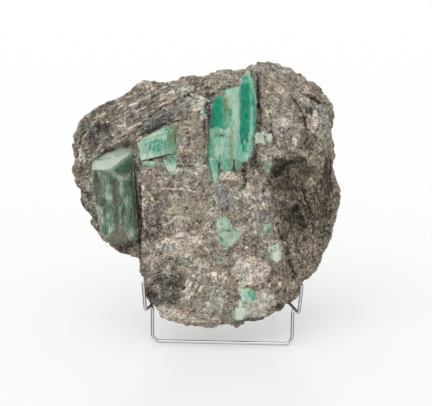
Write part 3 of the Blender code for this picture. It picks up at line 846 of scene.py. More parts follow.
@dataclass(frozen=True)
class FloorFinish:
    """A clean white acrylic sweep, softly lit from below."""

    name: str = "white_sweep"
    colour: Colour = (0.6, 0.6, 0.597)
    glow: float = 0.295

    def material(self) -> Material:
        """The material."""
        bench = Bench(self.name)
        dust = bench.noise(bench.grid(4.0), 1.0, 3.0)
        bench.dress({
            "Base Color": self.colour,
            "Roughness": bench.weigh(0.3, (dust, 0.06)),
            "Specular IOR Level": 0.25,
            "Emission Color": (1.0, 1.0, 1.0),
            "Emission Strength": self.glow,
        })
        return bench.material


# ---- the rock


class Zone(NamedTuple):
    """A plane of the showing face inside an outline, blended in over the width of its edge."""

    outline: Outline
    anchor: Triple
    slope: Pair
    edge: float


class Break(NamedTuple):
    """A flat break that trims the block behind its outline."""

    degrees: float
    backward: float
    room: float


class Facets(NamedTuple):
    """Broken facets: cells of a given spacing, each a plane of its own tilt."""

    spacing: float
    tilt: float
    seed: int


class Swell(NamedTuple):
    """Slow swelling of a given size and height."""

    size: float
    height: float
    seed: int


class Leaves(NamedTuple):
    """Foliation: leaves of rock that run along a direction and break off in small steps."""

    degrees: float
    spacing: float
    height: float
    seed: int


UPPER_BAND = Zone(
    ((-90, 128), (-76, 145), (-57, 160), (-35, 170), (0, 178), (9, 176), (3, 160),
     (-9.5, 150), (-22, 141.5), (-41.5, 133), (-55, 128), (-74, 116), (-88, 112)),
    (-45, 132, 19.0), (0.26, -0.5), 7.0,
)
DARK_FLANK = Zone(
    ((49.5, 104), (58, 98), (72, 110), (90, 110), (90, 60), (66, 34), (56, 30), (54, 44),
     (52, 60), (49, 77)),
    (50, 75, 21.0), (-0.5, 0.03), 4.0,
)
ZONES = (
    UPPER_BAND,
    # smooth wall over the tall crystal
    Zone(((-2, 170), (11, 182), (30, 184), (27, 172), (22, 168), (15, 164), (8, 163), (2, 158)),
         (14, 166, 17.0), (0.0, -0.75), 4.0),
    # rough pale mass at the upper right
    Zone(((34.5, 184), (56, 182), (76, 168), (82, 146), (75, 128), (60, 117), (41, 113),
          (33, 118), (34, 156)),
         (48, 142, 21.5), (-0.16, -0.12), 4.0),
    # broad central panel
    Zone(((-46, 112), (-44, 98), (-44, 70), (-46, 52), (-42, 30), (-30, 16), (-3, 5), (24, 7),
          (42, 16), (54, 27), (56, 39), (51.5, 61), (48.5, 77), (46, 96), (40, 108), (30, 116),
          (22, 112), (6, 118), (-15, 120), (-30, 118)),
         (5, 70, 24.0), (-0.03, 0.03), 5.0),
    # lip of the panel that rounds under at the lower right
    Zone(((25, 4), (58, 24), (52, 34), (36, 23), (25, 18)), (44, 24, 15.0), (-0.35, 0.55), 6.0),
    DARK_FLANK,
    # cavity below the pale mass
    Zone(((42, 113), (50, 119), (62, 119), (70, 112), (62, 103), (51, 99), (45, 104)),
         (55, 110, 10.5), (-0.15, 0.3), 5.0),
    # pit in the flank
    Zone(((56, 86), (61, 92), (68, 85), (67, 75), (60, 72), (55, 79)),
         (61, 82, 9.0), (-0.45, 0.0), 5.0),
    # left lobe, a step below the panel
    Zone(((-92, 116), (-88, 90), (-74, 64), (-50, 50), (-40.5, 52), (-40.5, 84), (-42.5, 104),
          (-43.5, 128), (-50, 131), (-64, 124), (-76, 114)),
         (-65, 98, 7.5), (0.05, 0.02), 2.0),
    # dark hollow inside the upper left band
    Zone(((-80, 128), (-74, 138), (-63, 141), (-60, 133), (-68, 127), (-76, 119)),
         (-70, 131, 6.5), (0.1, -0.1), 4.0),
    # shelf left of the big crystal
    Zone(((-90, 112), (-77, 112), (-76, 92), (-70, 66), (-76, 60), (-92, 88)),
         (-80, 95, 5.0), (0.15, 0.0), 3.0),
    # rubble under the big crystal
    Zone(((-63, 72), (-44, 77), (-41, 56), (-50, 50), (-66, 58)),
         (-52, 64, 11.0), (0.12, 0.12), 3.0),
    # brown block between the middle and the tall crystals
    Zone(((-18, 121.5), (-17.5, 132), (-14, 142), (-11, 149), (-5.5, 153), (1.0, 154),
          (2.8, 140), (2, 120), (-9, 119.5)),
         (-7, 136, 27.0), (0.0, -0.14), 2.0),
    # shaded seat under that block
    Zone(((-22, 119.5), (2, 119), (3, 114), (-20, 114)), (-8, 118, 21.0), (0.0, -0.3), 3.0),
    # seat of the tall crystal
    Zone(((2, 120), (4, 158), (10, 164), (20, 168), (25, 176), (31, 179), (35, 168), (34, 120),
          (24, 110), (6, 108)),
         (18, 140, 17.5), (0.05, -0.08), 1.8),
    # beige knob under the tall crystal
    Zone(((8, 110), (12, 112), (22, 110), (23, 104), (14, 101), (7, 104)),
         (15, 107, 26.0), (0.0, 0.0), 3.0),
)


# Cracks cut into the rock; its colour is darkened along them too, as painted shade.
SEAMS = cracks(
    (((45.8, 78), (47.1, 71.3), (49.6, 67.5), (51.8, 67.3)), 0.9, 0.5),
    (((50.8, 70), (52.8, 61.2), (53.7, 56.1), (55.6, 49), (57, 44)), 2.7, 2.2),
    (((57.5, 87), (61, 82.5), (64.5, 76.5)), 3.6, 0.8),
    (((45.5, 109.5), (49.5, 113.5), (54, 117)), 2.8, 0.8),
    (((58.2, 66.8), (58.8, 63.1), (60, 59.6)), 0.9, 0.8),
    (((43.5, 118.5), (49, 121.6), (60, 123.6)), 0.9, 0.4),
    (((-19, 114.8), (-10, 114.6), (-3, 115), (1.5, 117)), 0.8, 0.5),
    (((-44, 137.5), (-36, 145.5), (-27, 153), (-12, 160), (-2, 165)), 0.8, 0.4),
    (((-43, 133.8), (-33, 138), (-22, 142.5), (-13, 144), (-8, 150)), 0.8, 0.5),
    (((62, 104), (64, 94), (70, 82), (70, 70)), 0.8, 0.4),
    (((64, 161), (70, 158.5), (75, 155)), 1.4, 1),
    (((-40.6, 104), (-40.4, 88), (-40.8, 70), (-42, 58)), 1.1, 0.3),
    (((33.5, 175), (34.2, 160), (35, 148)), 0.7, 0.5),
    (((34.8, 140), (33.4, 124), (31.5, 112)), 0.5, 0.3),
    (((-11, 161), (-7, 157), (-4.5, 152), (-3.5, 146)), 1.2, 0.5),
    (((0.8, 166), (0.2, 150), (-0.5, 136)), 1, 0.4),
    (((24.5, 112), (25.5, 106), (24.8, 100)), 1.1, 0.6),
    (((8, 101), (13, 96), (15, 90), (13.5, 84)), 0.8, 0.3),
    (((-82, 122), (-80, 134), (-75, 141)), 1.2, 0.6),
    (((38, 152), (43, 146), (42, 136), (46, 128)), 0.8, 0.4),
    (((55, 160), (62, 150), (66, 138), (64, 126)), 0.9, 0.5),
    (((-30, 60), (-20, 55), (-12, 56), (-4, 50)), 0.7, 0.3),
    (((-36, 44), (-26, 48), (-18, 44)), 0.7, 0.3),
    (((67.6, 152), (68.4, 146), (67.2, 139)), 1, 0.4),
    (((73.4, 150), (73, 143), (71.6, 138)), 0.9, 0.4),
)
LEDGES = cracks(
    (((-26, 77), (-17, 82), (-9.3, 81.5), (-1, 75.2), (6, 72.6)), 0.8, 0.3),
    (((-35, 96), (-25, 100.5), (-9.3, 99.2), (0.2, 96)), 0.8, 0.2),
    (((-64, 150.5), (-72.4, 143), (-76.7, 135.6), (-80, 127), (-81, 116)), 1, 0.5),
    (((-46, 139.5), (-55.4, 136.6), (-65, 132.4), (-69, 126)), 0.9, 0.4),
    (((-9.6, 31), (-5, 40)), 2, 0.2), (((-12.4, 35), (-9, 40.5)), 1.7, 0.2),
    (((-4, 33), (-1.5, 38)), 1.6, 0.2), (((2, 46), (7, 45), (11, 46.5)), 2.3, 0.2),
    (((-39.2, 102), (-39, 90), (-38.4, 74)), 0.7, 0.2),
    (((20, 36), (27, 40), (35, 38), (39, 31)), 0.8, 0.2),
    (((-20, 66), (-12, 69), (-4, 66), (3, 60)), 0.7, 0.2),
    (((20, 94), (28, 97), (36, 92), (40, 84)), 0.5, 0.2),
    (((-52, 152), (-38, 160), (-24, 167)), 0.7, 0.2),
    (((-40, 146), (-26, 156), (-14, 162)), 0.7, 0.2),
    (((-7, 156), (-3, 150), (-1.5, 143)), 1.1, 0.3),
    (((-9, 161), (-4, 160), (0.5, 157)), 1.2, 0.3),
    (((-56, 141), (-46, 139.5), (-40, 143)), 0.8, 0.2),
)


@dataclass(frozen=True)
class RockTones:
    """Where the rock is dark, pale or tinted, as soft patches on its showing face; some of the dark
    patches are painted shade.
    """

    front: Pair = (2.0, 12.0)  # depths over which the patches give way to plain rock
    seam_seed: int = 81
    ledge_seed: int = 91
    dark: Marks = patches(
        # The three areas are painted shade: the pit in the flank, the cavity under the pale mass
        # and the hollow in the upper left band.
        (((58.5, 88.5), (62.3, 85.3), (66.1, 75.1), (62, 76), (57.9, 78.9), (54, 82.1)), 1.6, 4),
        (((43.5, 119), (51, 119.5), (54, 113), (50, 108.5), (47, 112), (43, 106),
          (42, 112)), 1.6, 4),
        (((-70.8, 143.6), (-60, 142.4), (-61.3, 136.6), (-67.7, 135.4), (-68.9, 127.8),
          (-74, 122.7), (-76.5, 127.1), (-75.3, 136)), 0.66, 3),
        # Painted shade among these patches: the cavity at (59.5, 118.5) and (53.5, 109), the hollow
        # at (-69.5, 133.5), the slot under the tall crystal at (24.9, 112.5), the underside of the
        # lower right rim at (28.5, 15.5) and (45, 22.5), the right rim at (79.5, 99), the step at
        # the panel's left edge at (-41.5, 83.5) and the gaps beside the tall crystal at (2.5, 150)
        # and (34, 160.5). The others are the rock's own dark minerals.
        (59.5, 118.5, 5.1, 2.5, 0.9, 10), (53.5, 109, 6, 5, 0.6), (65.5, 131, 7, 6.4, 0.55),
        (69.5, 158.8, 5, 1.6, 1.3, -28), (63, 145.8, 3, 1, 1.2, 8), (65.3, 151, 1.1, 2.4, 1.1),
        (40, 103.5, 3.2, 2.5, 0.8), (-25, 36, 15, 11.5, 0.8, 20), (-33.5, 79, 8, 17.5, 0.65),
        (-69.5, 133.5, 7.6, 9.5, 0.2, 30), (24.9, 112.5, 1.7, 5.6, 1.4),
        (-75.5, 86.5, 6.3, 20.3, 0.6, 20), (-52.5, 63.5, 8.9, 7, 0.7),
        (28.5, 15.5, 10.2, 2.2, 0.9, 8), (45, 22.5, 7, 2.5, 0.9, 35), (-4.5, 79, 3.8, 1.9, 0.5),
        (79.5, 99, 4, 26, 0.85), (-30, 90, 10, 7, 0.5), (-41.5, 83.5, 1.9, 28.5, 0.8),
        (-17, 53.5, 6.3, 3.2, 0.5, 20), (-8, 131, 6.3, 8.9, 0.2), (2.5, 150, 1.3, 19, 0.9, 3),
        (34, 160.5, 1.2, 13, 0.8, 3), (-30, 141, 13, 5, 0.7, 33),
    )
    pale: Marks = patches(
        (29.5, 48, 10.2, 7.6, 2.3), (-14.5, 64.5, 17.1, 10.8, 0.6), (26, 89, 10.2, 5.1, 0.3, 10),
        (46, 152, 9.5, 15.6, 0.45), (70.8, 145, 2.2, 5.6, 1.3), (-4.5, 153, 4.4, 7.6, 0.7, -30),
        (-21, 162, 14, 2.9, 0.6, 32), (-52.5, 133.5, 11.4, 3.2, 0.4, 30), (15, 108, 7, 3.8, 0.6),
        (46.5, 81, 1.3, 1.9, 1.8), (-11, 41.5, 1.1, 2.5, 1.2, -20),
        (47.5, 163.5, 4.6, 1.8, 0.9, -8), (6, 46, 1.9, 1.3, 1.4), (11.5, 44, 2.5, 1.9, 1.5),
        (-38.5, 168, 5.1, 2.5, 0.8, 15), (34, 25.5, 12.4, 8.7, 1), (36.5, 162.5, 5.1, 6.3, 0.3),
        (62, 158.5, 6.6, 3.6, 0.5, -30), (49, 143, 2.6, 3.2, 1), (57, 129, 1.6, 5.5, 1.1, -5),
        (-55, 63, 3.2, 1.3, 0.6, 30), (-20, 20, 19.4, 5, 0.6, -15), (0, 53.5, 9.6, 4.8, 0.5),
        (-2, 30, 10, 7, 0.3), (-3, 114.5, 3.2, 3.2, 0.8),
    )
    olive: Marks = patches(
        (-12.5, 86.5, 14, 9.5, 0.9), (-31.5, 98, 7.6, 6.3, 0.5), (68, 107, 9.5, 5.7, 0.8, 30),
        (-75.5, 83.5, 5.7, 17.8, 0.4, 20), (-6, 140.5, 7.6, 12.7, 0.5),
        (4.5, 169, 11.4, 5.1, 0.6, 10), (34, 67.5, 6.3, 3.8, 0.25),
        (-44, 156.5, 16.5, 4.4, 0.35, 30), (51.5, 159.5, 5.1, 3.2, 0.5),
        (-22, 20, 10.2, 5.1, 0.35, -10),
    )
    slate: Marks = patches(
        (-24, 147.5, 21.6, 3.5, 0.9, 33), (12, 95.5, 4.4, 9.5, 0.8, 25), (37, 83, 5.1, 5.1, 0.6),
        (44, 154.5, 3.2, 5.7, 0.6), (54, 158, 3.8, 3.8, 0.6), (74.5, 148.5, 3.8, 7.6, 0.5),
        (7, 24, 7.6, 5.1, 0.4), (-70.5, 136.5, 6.5, 9, 0.8, 30), (22.5, 79, 6.3, 2.5, 0.3, 10),
    )
    mint: Marks = patches(
        (-18, 53, 5.7, 3.2, 0.5, -30), (11.5, 55.5, 6.3, 3.8, 0.5), (40, 114, 3.8, 3.2, 0.8),
        (0, 148.5, 2.5, 3.8, 0.9, 30), (-5.5, 154.5, 3.2, 3.2, 0.5), (38, 74.5, 5.1, 5.1, 0.5),
        (-25, 139, 5.1, 1.9, 0.8, 20), (27, 26, 9.5, 5.7, 0.45), (22, 20, 6.5, 5.5, 0.8),
        (24.5, 38.5, 8, 6, 0.25), (45, 59.5, 5.1, 6.3, 0.5), (11, 83, 3.8, 3.2, 0.4),
        (36.5, 126, 5.1, 3.8, 0.3), (40, 132, 3.8, 3.8, 0.6),
    )
    rust: Marks = patches(
        (-4.5, 79, 5.1, 2.2, 0.9), (-28.5, 95.5, 5.1, 3.2, 0.4), (15, 40, 3.8, 2.5, 0.5),
        (-14, 126, 4, 5, 0.4), (5, 44.5, 1.9, 1.9, 0.5), (41.5, 161.5, 3.8, 1.9, 0.5),
        (49, 142.5, 1.6, 2.2, 0.9), (53, 155.5, 3, 1.2, 0.5),
    )
    flank: Outline = (
        (40.5, 107), (61, 118.5), (72.5, 125), (86, 128), (88, 98), (84.5, 61), (72.5, 38.5),
        (61, 17.5), (51.5, 16), (49, 34), (52, 46), (50.5, 60), (46.5, 74), (41.5, 90),
    )
    flank_dark: float = 0.66
    flank_fade: Triple = (0.48, 88.0, 34.0)  # how much paler it is away from a height, and how far
    band: Outline = (
        (-86, 125), (-74, 147), (-48, 165), (0, 176), (9, 172), (2, 160), (-9.5, 148),
        (-35, 131.5), (-60.5, 118.5), (-84, 99.5),
    )
    ridge: Outline = (
        (-41.5, 132.5), (-30, 145.5), (-16, 157), (0, 164.5), (2, 160), (-9.5, 150.5),
        (-25.5, 139), (-37.5, 130),
    )

    @staticmethod
    def lines(group: tuple[Crack, ...], places: Values, seed: int) -> tuple[Values, Values]:
        """How strongly each place lies on a line of the group, and how deep the line cuts."""
        wander = 1.1 * lumps(places, 5.0, seed)
        u, w = places[:, 0] + wander, places[:, 2] + 1.1 * lumps(places, 5.0, seed + 1)
        uneven = smooth_step(0.75 + 1.3 * lumps(places, 3.2, seed + 2))
        share = np.zeros(len(u))
        depth = np.zeros(len(u))
        for line in group:
            here = line.share(u, w) * uneven
            depth = np.where(here > share, line.depth * here, depth)
            share = np.maximum(share, here)
        return share, depth

    def paint(self, shop: Workshop, mesh: Mesh, places: Values, beside: Values) -> None:
        """Stores every mask on the mesh.

        Args:
            shop: The workshop.
            mesh: The rock's mesh.
            places: Its vertices in the specimen's millimetres.
            beside: How near each vertex lies to a crystal.
        """
        u, y, w = places.T
        low, high = self.front
        front = smooth_step((high - y) / (high - low))
        band = inward(u, w, self.band, 8.0)
        wander = 9.0 * lumps(places, 9.0, 61) + 5.0 * lumps(places, 3.0, 62)
        flank = smooth_step(0.5 - (outline_distance(u, w, self.flank) + wander) / 12.0)
        for seed, name in enumerate(("dark", "pale", "olive", "slate", "mint", "rust"), 21):
            plain = 0.7 * smooth_step(1.8 * lumps(places, 22.0, seed))
            mask = total_share(getattr(self, name), u, w) * front + plain * (1.0 - front)
            if name == "dark":
                fade, height, reach = self.flank_fade
                faded = 1.0 - fade * smooth_step(np.abs(w - height) / reach)
                mask = np.maximum(mask, self.flank_dark * faded * flank * front)
            if name == "mint":
                mask = np.maximum(mask, 0.55 * beside)
            shop.stain(mesh, name, mask)
        # Painted shade along the cracks.
        shop.stain(mesh, "crack_shade", self.lines(SEAMS, places, self.seam_seed)[0] * front)
        shop.stain(mesh, "ledge", self.lines(LEDGES, places, self.ledge_seed)[0] * front)
        shop.stain(mesh, "band", np.maximum(band * front, 0.45 * (1.0 - front)))
        shop.stain(mesh, "flank", flank * front)


@dataclass
class RockForm:
    """The schist block: a sphere drawn out to its outline, broken and fitted round the crystals."""

    plane: SpecimenPlane
    shop: Workshop
    name: str = "schist_block"
    heart: Pair = (0.0, 96.0)
    outline: Outline = (
        (-44, 169.5), (-39.5, 171.5), (-34.5, 170.5), (-29, 172), (-19.5, 173), (-9.5, 174),
        (0, 173.5), (6, 176), (11, 178), (22.5, 178.5), (29, 180.5), (34.5, 181.5), (43.5, 182),
        (50, 180), (55, 177.5), (61.5, 175.5), (66, 173), (74.5, 166.5), (79.5, 159), (83, 154),
        (84, 146), (83, 138.5), (84, 128), (85.5, 119), (86.5, 107), (88, 98), (87.5, 93),
        (85.5, 84), (84, 75), (82, 67), (79.5, 62.5), (77, 56), (76, 51.5), (70, 43.5),
        (65.5, 38.5), (62.5, 33.5), (57, 28), (52, 24.5), (46.5, 21), (37, 16), (29, 13.5),
        (20, 11.5), (11, 11), (1.5, 9.5), (-6.5, 12.5), (-19.5, 15), (-28, 18), (-30.5, 21),
        (-33, 25), (-36, 30), (-38.5, 37), (-40.5, 46), (-42, 52.5), (-43.5, 55.5), (-48.5, 56),
        (-55, 59), (-60.5, 63), (-65, 67), (-69.5, 71), (-73, 75), (-74.5, 80), (-77, 85),
        (-80, 90.5), (-82.5, 95), (-84.5, 101.5), (-85.5, 109), (-85.5, 119), (-86, 130.5),
        (-85, 137), (-82.5, 143.5), (-79, 148.5), (-73.5, 152.5), (-66.5, 156.5), (-58.5, 159),
        (-51.5, 162.5),
    )
    rim_depth: Table = (
        (-180, 2), (-160, -2), (-140, -8), (-120, -13), (-100, -10), (-80, -8), (-60, -4),
        (-45, 0), (-25, 7), (0, 9), (30, 9), (60, 8), (90, 8), (120, 7), (150, 5), (180, 2),
    )
    edge_squareness: Table = (
        (-180, 4), (-150, 4.5), (-138, 8), (-115, 8), (-95, 5), (-60, 4), (0, 3.5), (45, 4),
        (100, 4), (140, 3.6), (180, 4),
    )
    back_squareness: float = 3.2
    back_depth: float = 25.0
    base_relief: float = 18.0
    rim_start: float = 0.8
    breaks: tuple[Break, ...] = tuple(
        Break(*row)
        for row in (
            (8, 0.62, 1.0), (41, 0.48, 0.5), (68, 0.7, 0.0), (97, 0.52, 1.0),
            (128, 0.66, 0.5), (158, 0.45, 0.5), (186, 0.72, 0.0), (212, 0.55, 3.0),
            (236, 0.45, 6.0), (262, 0.3, 7.0), (292, 0.42, 6.0), (318, 0.5, 4.0),
            (342, 0.74, 1.0), (20, 0.92, -1.0), (110, 0.94, -2.0), (200, 0.93, 2.0),
            (275, 0.9, 17.0),
        )
    )
    swells: tuple[Swell, ...] = (Swell(34.0, 1.5, 3), Swell(13.0, 0.8, 5))
    facets: tuple[Facets, ...] = (Facets(17.0, 0.11, 11), Facets(7.5, 0.14, 12))
    fine_facets: Facets = Facets(3.4, 0.2, 13)
    crumbs: tuple[Swell, ...] = (Swell(4.2, 0.42, 14), Swell(1.9, 0.3, 15))
    band_ribs: Leaves = Leaves(30.0, 3.6, 0.8, 1)
    flank_ribs: Leaves = Leaves(98.0, 4.4, 0.7, 2)
    band_leaves: Leaves = Leaves(31.0, 3.0, 1.1, 31)
    flank_leaves: Leaves = Leaves(97.0, 4.0, 0.8, 32)
    leaf_edge: float = 6.0
    quiet: Patch = Patch(-12.5, 86.5, 14.0, 9.5, 0.6)
    rough_range: Pair = (-2.4, 1.3)
    fine_range: Pair = (-1.3, 0.55)
    rim_trim: float = 0.6
    sphere_steps: int = 7
    voxel: float = 0.985
    calm_rim: Triple = (88.0, 152.0, 0.55)  # where the upper left rim is smoother, and how much
    knobs: Swell = Swell(4.6, 2.2, 17)  # and where the upper right rim is knobbly
    knobbly_rim: Pair = (22.0, 78.0)
    most_rise: float = 3.2
    sink: float = 2.2
    green_halo: float = 2.2

    def reach(self, degrees: Values) -> Values:
        """Distance from the heart to the outline in each direction."""
        corners = np.array(self.outline) - self.heart
        keys = np.degrees(np.arctan2(corners[:, 1], corners[:, 0]))
        order = np.argsort(keys)
        return np.interp(degrees, keys[order], np.hypot(*corners[order].T), period=360.0)

    def round_heart(self, degrees: Values, reach: Values) -> tuple[Values, Values]:
        """Places at a distance from the heart in each direction."""
        angle = np.radians(degrees)
        return self.heart[0] + reach * np.cos(angle), self.heart[1] + reach * np.sin(angle)

    def relief(self, u: Values, w: Values) -> Values:
        """Relief of the showing face before its rim is rounded."""
        relief = np.full(len(u), self.base_relief)
        for zone in ZONES:
            share = inward(u, w, zone.outline, zone.edge)
            u0, w0, height = zone.anchor
            plane = height + zone.slope[0] * (u - u0) + zone.slope[1] * (w - w0)
            relief += (plane - relief) * share
        return relief

    def rim_profile(self, fall: Values, squareness: Values) -> tuple[Values, Values]:
        """Share of the reach and of the depth, for a fall of 0 at the middle and 1 at the rim."""
        outer = np.clip((fall - self.rim_start) / (1.0 - self.rim_start), 0.0, 1.0)
        start = np.arcsin(self.rim_start ** (squareness / 2.0))
        angle = start + (math.pi / 2.0 - start) * outer
        share = np.where(fall < self.rim_start, fall, np.sin(angle) ** (2.0 / squareness))
        depth = np.clip(1.0 - share ** squareness, 0.0, 1.0) ** (1.0 / squareness)
        return share, depth

    def trim_back(self, points: Values) -> Values:
        """Flattens what stands behind each of the breaks, up to the outline's own edge."""
        around = np.arange(0.0, 360.0, 3.0)
        reach = self.reach(around)
        edge_u, edge_w = self.round_heart(around, reach)
        edge_y = by_direction(self.rim_depth, (around + 180.0) % 360.0 - 180.0)
        edge = np.column_stack((edge_u, edge_y, edge_w))
        for degrees, backward, room in self.breaks:
            sideways = math.sqrt(1.0 - backward * backward)
            angle = math.radians(degrees)
            facing = np.array((sideways * math.cos(angle), backward, sideways * math.sin(angle)))
            beyond = points @ facing - (edge @ facing).max() - room
            points = points - np.outer(np.maximum(beyond, 0.0), facing)
        return points

    def shape(self, directions: Values, stand: "WireStand") -> Values:
        """Places for directions on a sphere.

        Args:
            directions: Unit vectors.
            stand: The stand, whose ledges carry the underside.

        Returns:
            The points in the specimen's millimetres.
        """
        degrees = np.degrees(np.arctan2(directions[:, 2], directions[:, 0]))
        to_front = directions[:, 1] < 0.0
        fall = np.arccos(np.clip(np.abs(directions[:, 1]), 0.0, 1.0)) / (math.pi / 2.0)
        edge = by_direction(self.edge_squareness, degrees)
        share, depth = self.rim_profile(fall, np.where(to_front, edge, self.back_squareness))
        u, w = self.round_heart(degrees, self.reach(degrees) * share)
        rim = by_direction(self.rim_depth, degrees)
        front = rim - (self.relief(u, w) + rim) * depth
        back = rim + (self.back_depth - rim) * depth
        y = np.where(to_front, front, back)
        w = np.maximum(w, stand.lowest_rock(u, y, self.plane))
        return self.trim_back(np.column_stack((u, y, w)))

    @staticmethod
    def chipped(points: Values, facets: Facets) -> Values:
        """Height of broken facets at each point."""
        rng = np.random.default_rng(facets.seed)
        low, high = points.min(axis=0), points.max(axis=0)
        count = int(np.prod((high - low) / facets.spacing)) + 1
        seeds = rng.uniform(low, high, (count, 3))
        tilts = rng.normal(0.0, facets.tilt, (count, 3))
        tree = kdtree.KDTree(count)
        for index, place in enumerate(seeds.tolist()):
            tree.insert(place, index)
        tree.balance()
        nearest = np.array([tree.find(place)[1] for place in points.tolist()])
        return np.einsum("ij,ij->i", points - seeds[nearest], tilts[nearest])

    @staticmethod
    def leaved(points: Values, leaves: Leaves, stepped: float) -> Values:
        """Height of foliation: soft ribs, turned into broken steps by the given share."""
        u, w = points[:, 0], points[:, 2]
        angle = math.radians(leaves.degrees)
        across = (w * math.cos(angle) - u * math.sin(angle)) / leaves.spacing
        along = (w * math.sin(angle) + u * math.cos(angle)) / (leaves.spacing * 9.0)
        flat = np.column_stack((across, along, np.full(len(u), leaves.seed * 4.7)))
        waves = np.array([noise.noise(place) for place in flat.tolist()])
        count = across * 1.7 + 1.2 * waves
        steps = (count - np.floor(count)) ** 2.0 - 0.33
        return leaves.height * ((1.0 - stepped) * waves + stepped * steps)

    def roughen(self, points: Values, normals: Values) -> Values:
        """Adds the swelling, the broad facets and the ribs along the normals."""
        lift = np.zeros(len(points))
        for swell in self.swells:
            lift += swell.height * lumps(points, swell.size, swell.seed)
        for facets in self.facets:
            lift += self.chipped(points, facets)
        for zone, ribs in ((UPPER_BAND, self.band_ribs), (DARK_FLANK, self.flank_ribs)):
            share = inward(points[:, 0], points[:, 2], zone.outline, self.leaf_edge)
            lift += self.leaved(points, ribs, 0.0) * share
        sideways = np.hypot(normals[:, 0], normals[:, 2])
        lift *= 1.0 - self.calm(points) * sideways
        lift = np.clip(lift, *self.rough_range) - self.rim_trim * sideways ** 2
        return points + normals * lift[:, None]

    def calm(self, points: Values) -> Values:
        """How much smoother the rock is in each direction from its heart."""
        start, end, share = self.calm_rim
        return share * self.within(points, start, end)

    def within(self, points: Values, start: float, end: float) -> Values:
        """How far each point lies in a sector seen from the heart, from 0 to 1."""
        u, w = points[:, 0] - self.heart[0], points[:, 2] - self.heart[1]
        degrees = np.degrees(np.arctan2(w, u))
        return smooth_step(np.minimum(degrees - start, end - degrees) / 8.0)

    def embed(self, points: Values) -> tuple[Values, Values]:
        """Draws the rock up to the crystals' edges and sinks it under them.

        Args:
            points: The grained block's vertices.

        Returns:
            The new places, and how near each lies to a crystal.
        """
        u, y, w = points.T.copy()
        beside = np.zeros(len(u))
        for crystal in CRYSTALS:
            away, face = crystal.front(u, w)
            close = (away < crystal.collar + 1.0) & (y < 8.0)
            place = points[close]
            away, face, here = away[close], face[close], y[close]
            ragged = 0.8 * lumps(place, 1.9, crystal.seed + 6)
            ragged += 0.7 * lumps(place, 4.5, crystal.seed + 7)
            ragged *= crystal.ragged
            collar = crystal.embed * smooth_step(1.0 - away / crystal.collar)
            rise = np.clip(face + 0.1 + 0.8 * ragged - here, -self.most_rise, 0.0)
            here = here + rise * collar
            under = smooth_step((-away - crystal.cover - ragged) / 1.0)
            here = here + np.maximum(face + self.sink - here, 0.0) * under
            y[close] = here
            beside[close] = np.maximum(beside[close], smooth_step(1.0 - away / self.green_halo))
        return np.column_stack((u, y, w)), beside

    def grain(self, points: Values, normals: Values) -> Values:
        """Adds the small facets, crumbs and stepped leaves to the even mesh."""
        u, w = points[:, 0], points[:, 2]
        lift = self.chipped(points, self.fine_facets)
        for crumb in self.crumbs:
            lift += crumb.height * lumps(points, crumb.size, crumb.seed)
        lift *= 1.0 - self.quiet.share(u, w)
        lift = lift * (1.0 - 0.35 * inward(u, w, RockTones.ridge, 4.0))
        for outline, leaves, stepped in (
            (RockTones.band, self.band_leaves, 0.8),
            (RockTones.flank, self.flank_leaves, 0.7),
        ):
            lift += self.leaved(points, leaves, stepped) * inward(u, w, outline, self.leaf_edge)
        sideways = np.hypot(normals[:, 0], normals[:, 2])
        lift *= 1.0 - self.calm(points) * sideways
        lift = np.clip(lift, *self.fine_range)
        knob = lumps(points, self.knobs.size, self.knobs.seed) * sideways ** 2
        lift += self.knobs.height * knob * self.within(points, *self.knobbly_rim)
        front = smooth_step((8.0 - points[:, 1]) / 6.0)
        lift -= RockTones.lines(SEAMS, points, RockTones.seam_seed)[1] * front
        lift += RockTones.lines(LEDGES, points, RockTones.ledge_seed)[1] * front
        return points + normals * lift[:, None]

    def block(self, stand: "WireStand") -> Thing:
        """The grained block, fitted round the crystals, before the wires' ways are cut."""
        shop = self.shop
        work = bmesh.new()
        bmesh.ops.create_icosphere(work, subdivisions=self.sphere_steps, radius=1.0)
        made = shop.tool("block_blank", work)
        shop.move(made.data, self.shape(shop.places(made.data), stand))
        shop.move(made.data, self.roughen(shop.places(made.data), shop.normals(made.data)))
        even = made.modifiers.new("Even faces", "REMESH")
        even.mode = "VOXEL"
        even.voxel_size = self.voxel
        mesh = shop.settled(made)
        places, beside = self.embed(self.grain(shop.places(mesh), shop.normals(mesh)))
        shop.move(mesh, places)
        shop.stain(mesh, "beside", beside)
        made.modifiers.clear()
        made.data = mesh
        return made

    def build(self, stand: "WireStand", cutters: list[Thing], finish: SchistFinish) -> Thing:
        """The finished rock.

        Args:
            stand: The stand that it leans on.
            cutters: The wires' ways past the rock.
            finish: Its finish.

        Returns:
            The piece, which replaces the CAD's rock.
        """
        shop = self.shop
        blank = self.block(stand)
        for cutter in cutters:
            combine(blank, cutter, "DIFFERENCE", "MANIFOLD")
        mesh = shop.settled(blank)
        places = shop.places(mesh)
        beside = np.empty(len(mesh.vertices))
        mesh.attributes["beside"].data.foreach_get("value", beside)
        RockTones().paint(shop, mesh, places, beside)
        # Painted shade: how deep each vertex lies in a hollow, for darkening the colour there.
        shop.stain(mesh, "hollow_shade", self.hollow_shade(places))
        shop.move(mesh, self.plane.to_world(places))
        shop.dress(mesh, finish.material())
        piece = shop.piece(self.name, mesh, "schist")
        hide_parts("matrix")
        return piece

    def hollow_shade(self, places: Values) -> Values:
        """How far each vertex lies in a hollow between the crumbs, from 0 to 1; the rock's colour
        is darkened there as painted shade.
        """
        return smooth_step(0.25 - sum(lumps(places, size, seed) for size, _, seed in self.crumbs))


# ---- the crystals


class Facet(NamedTuple):
    """A front face of a prism: a point on it with its relief, and its slopes right and up."""

    u: float
    w: float
    relief: float
    slope_u: float
    slope_w: float


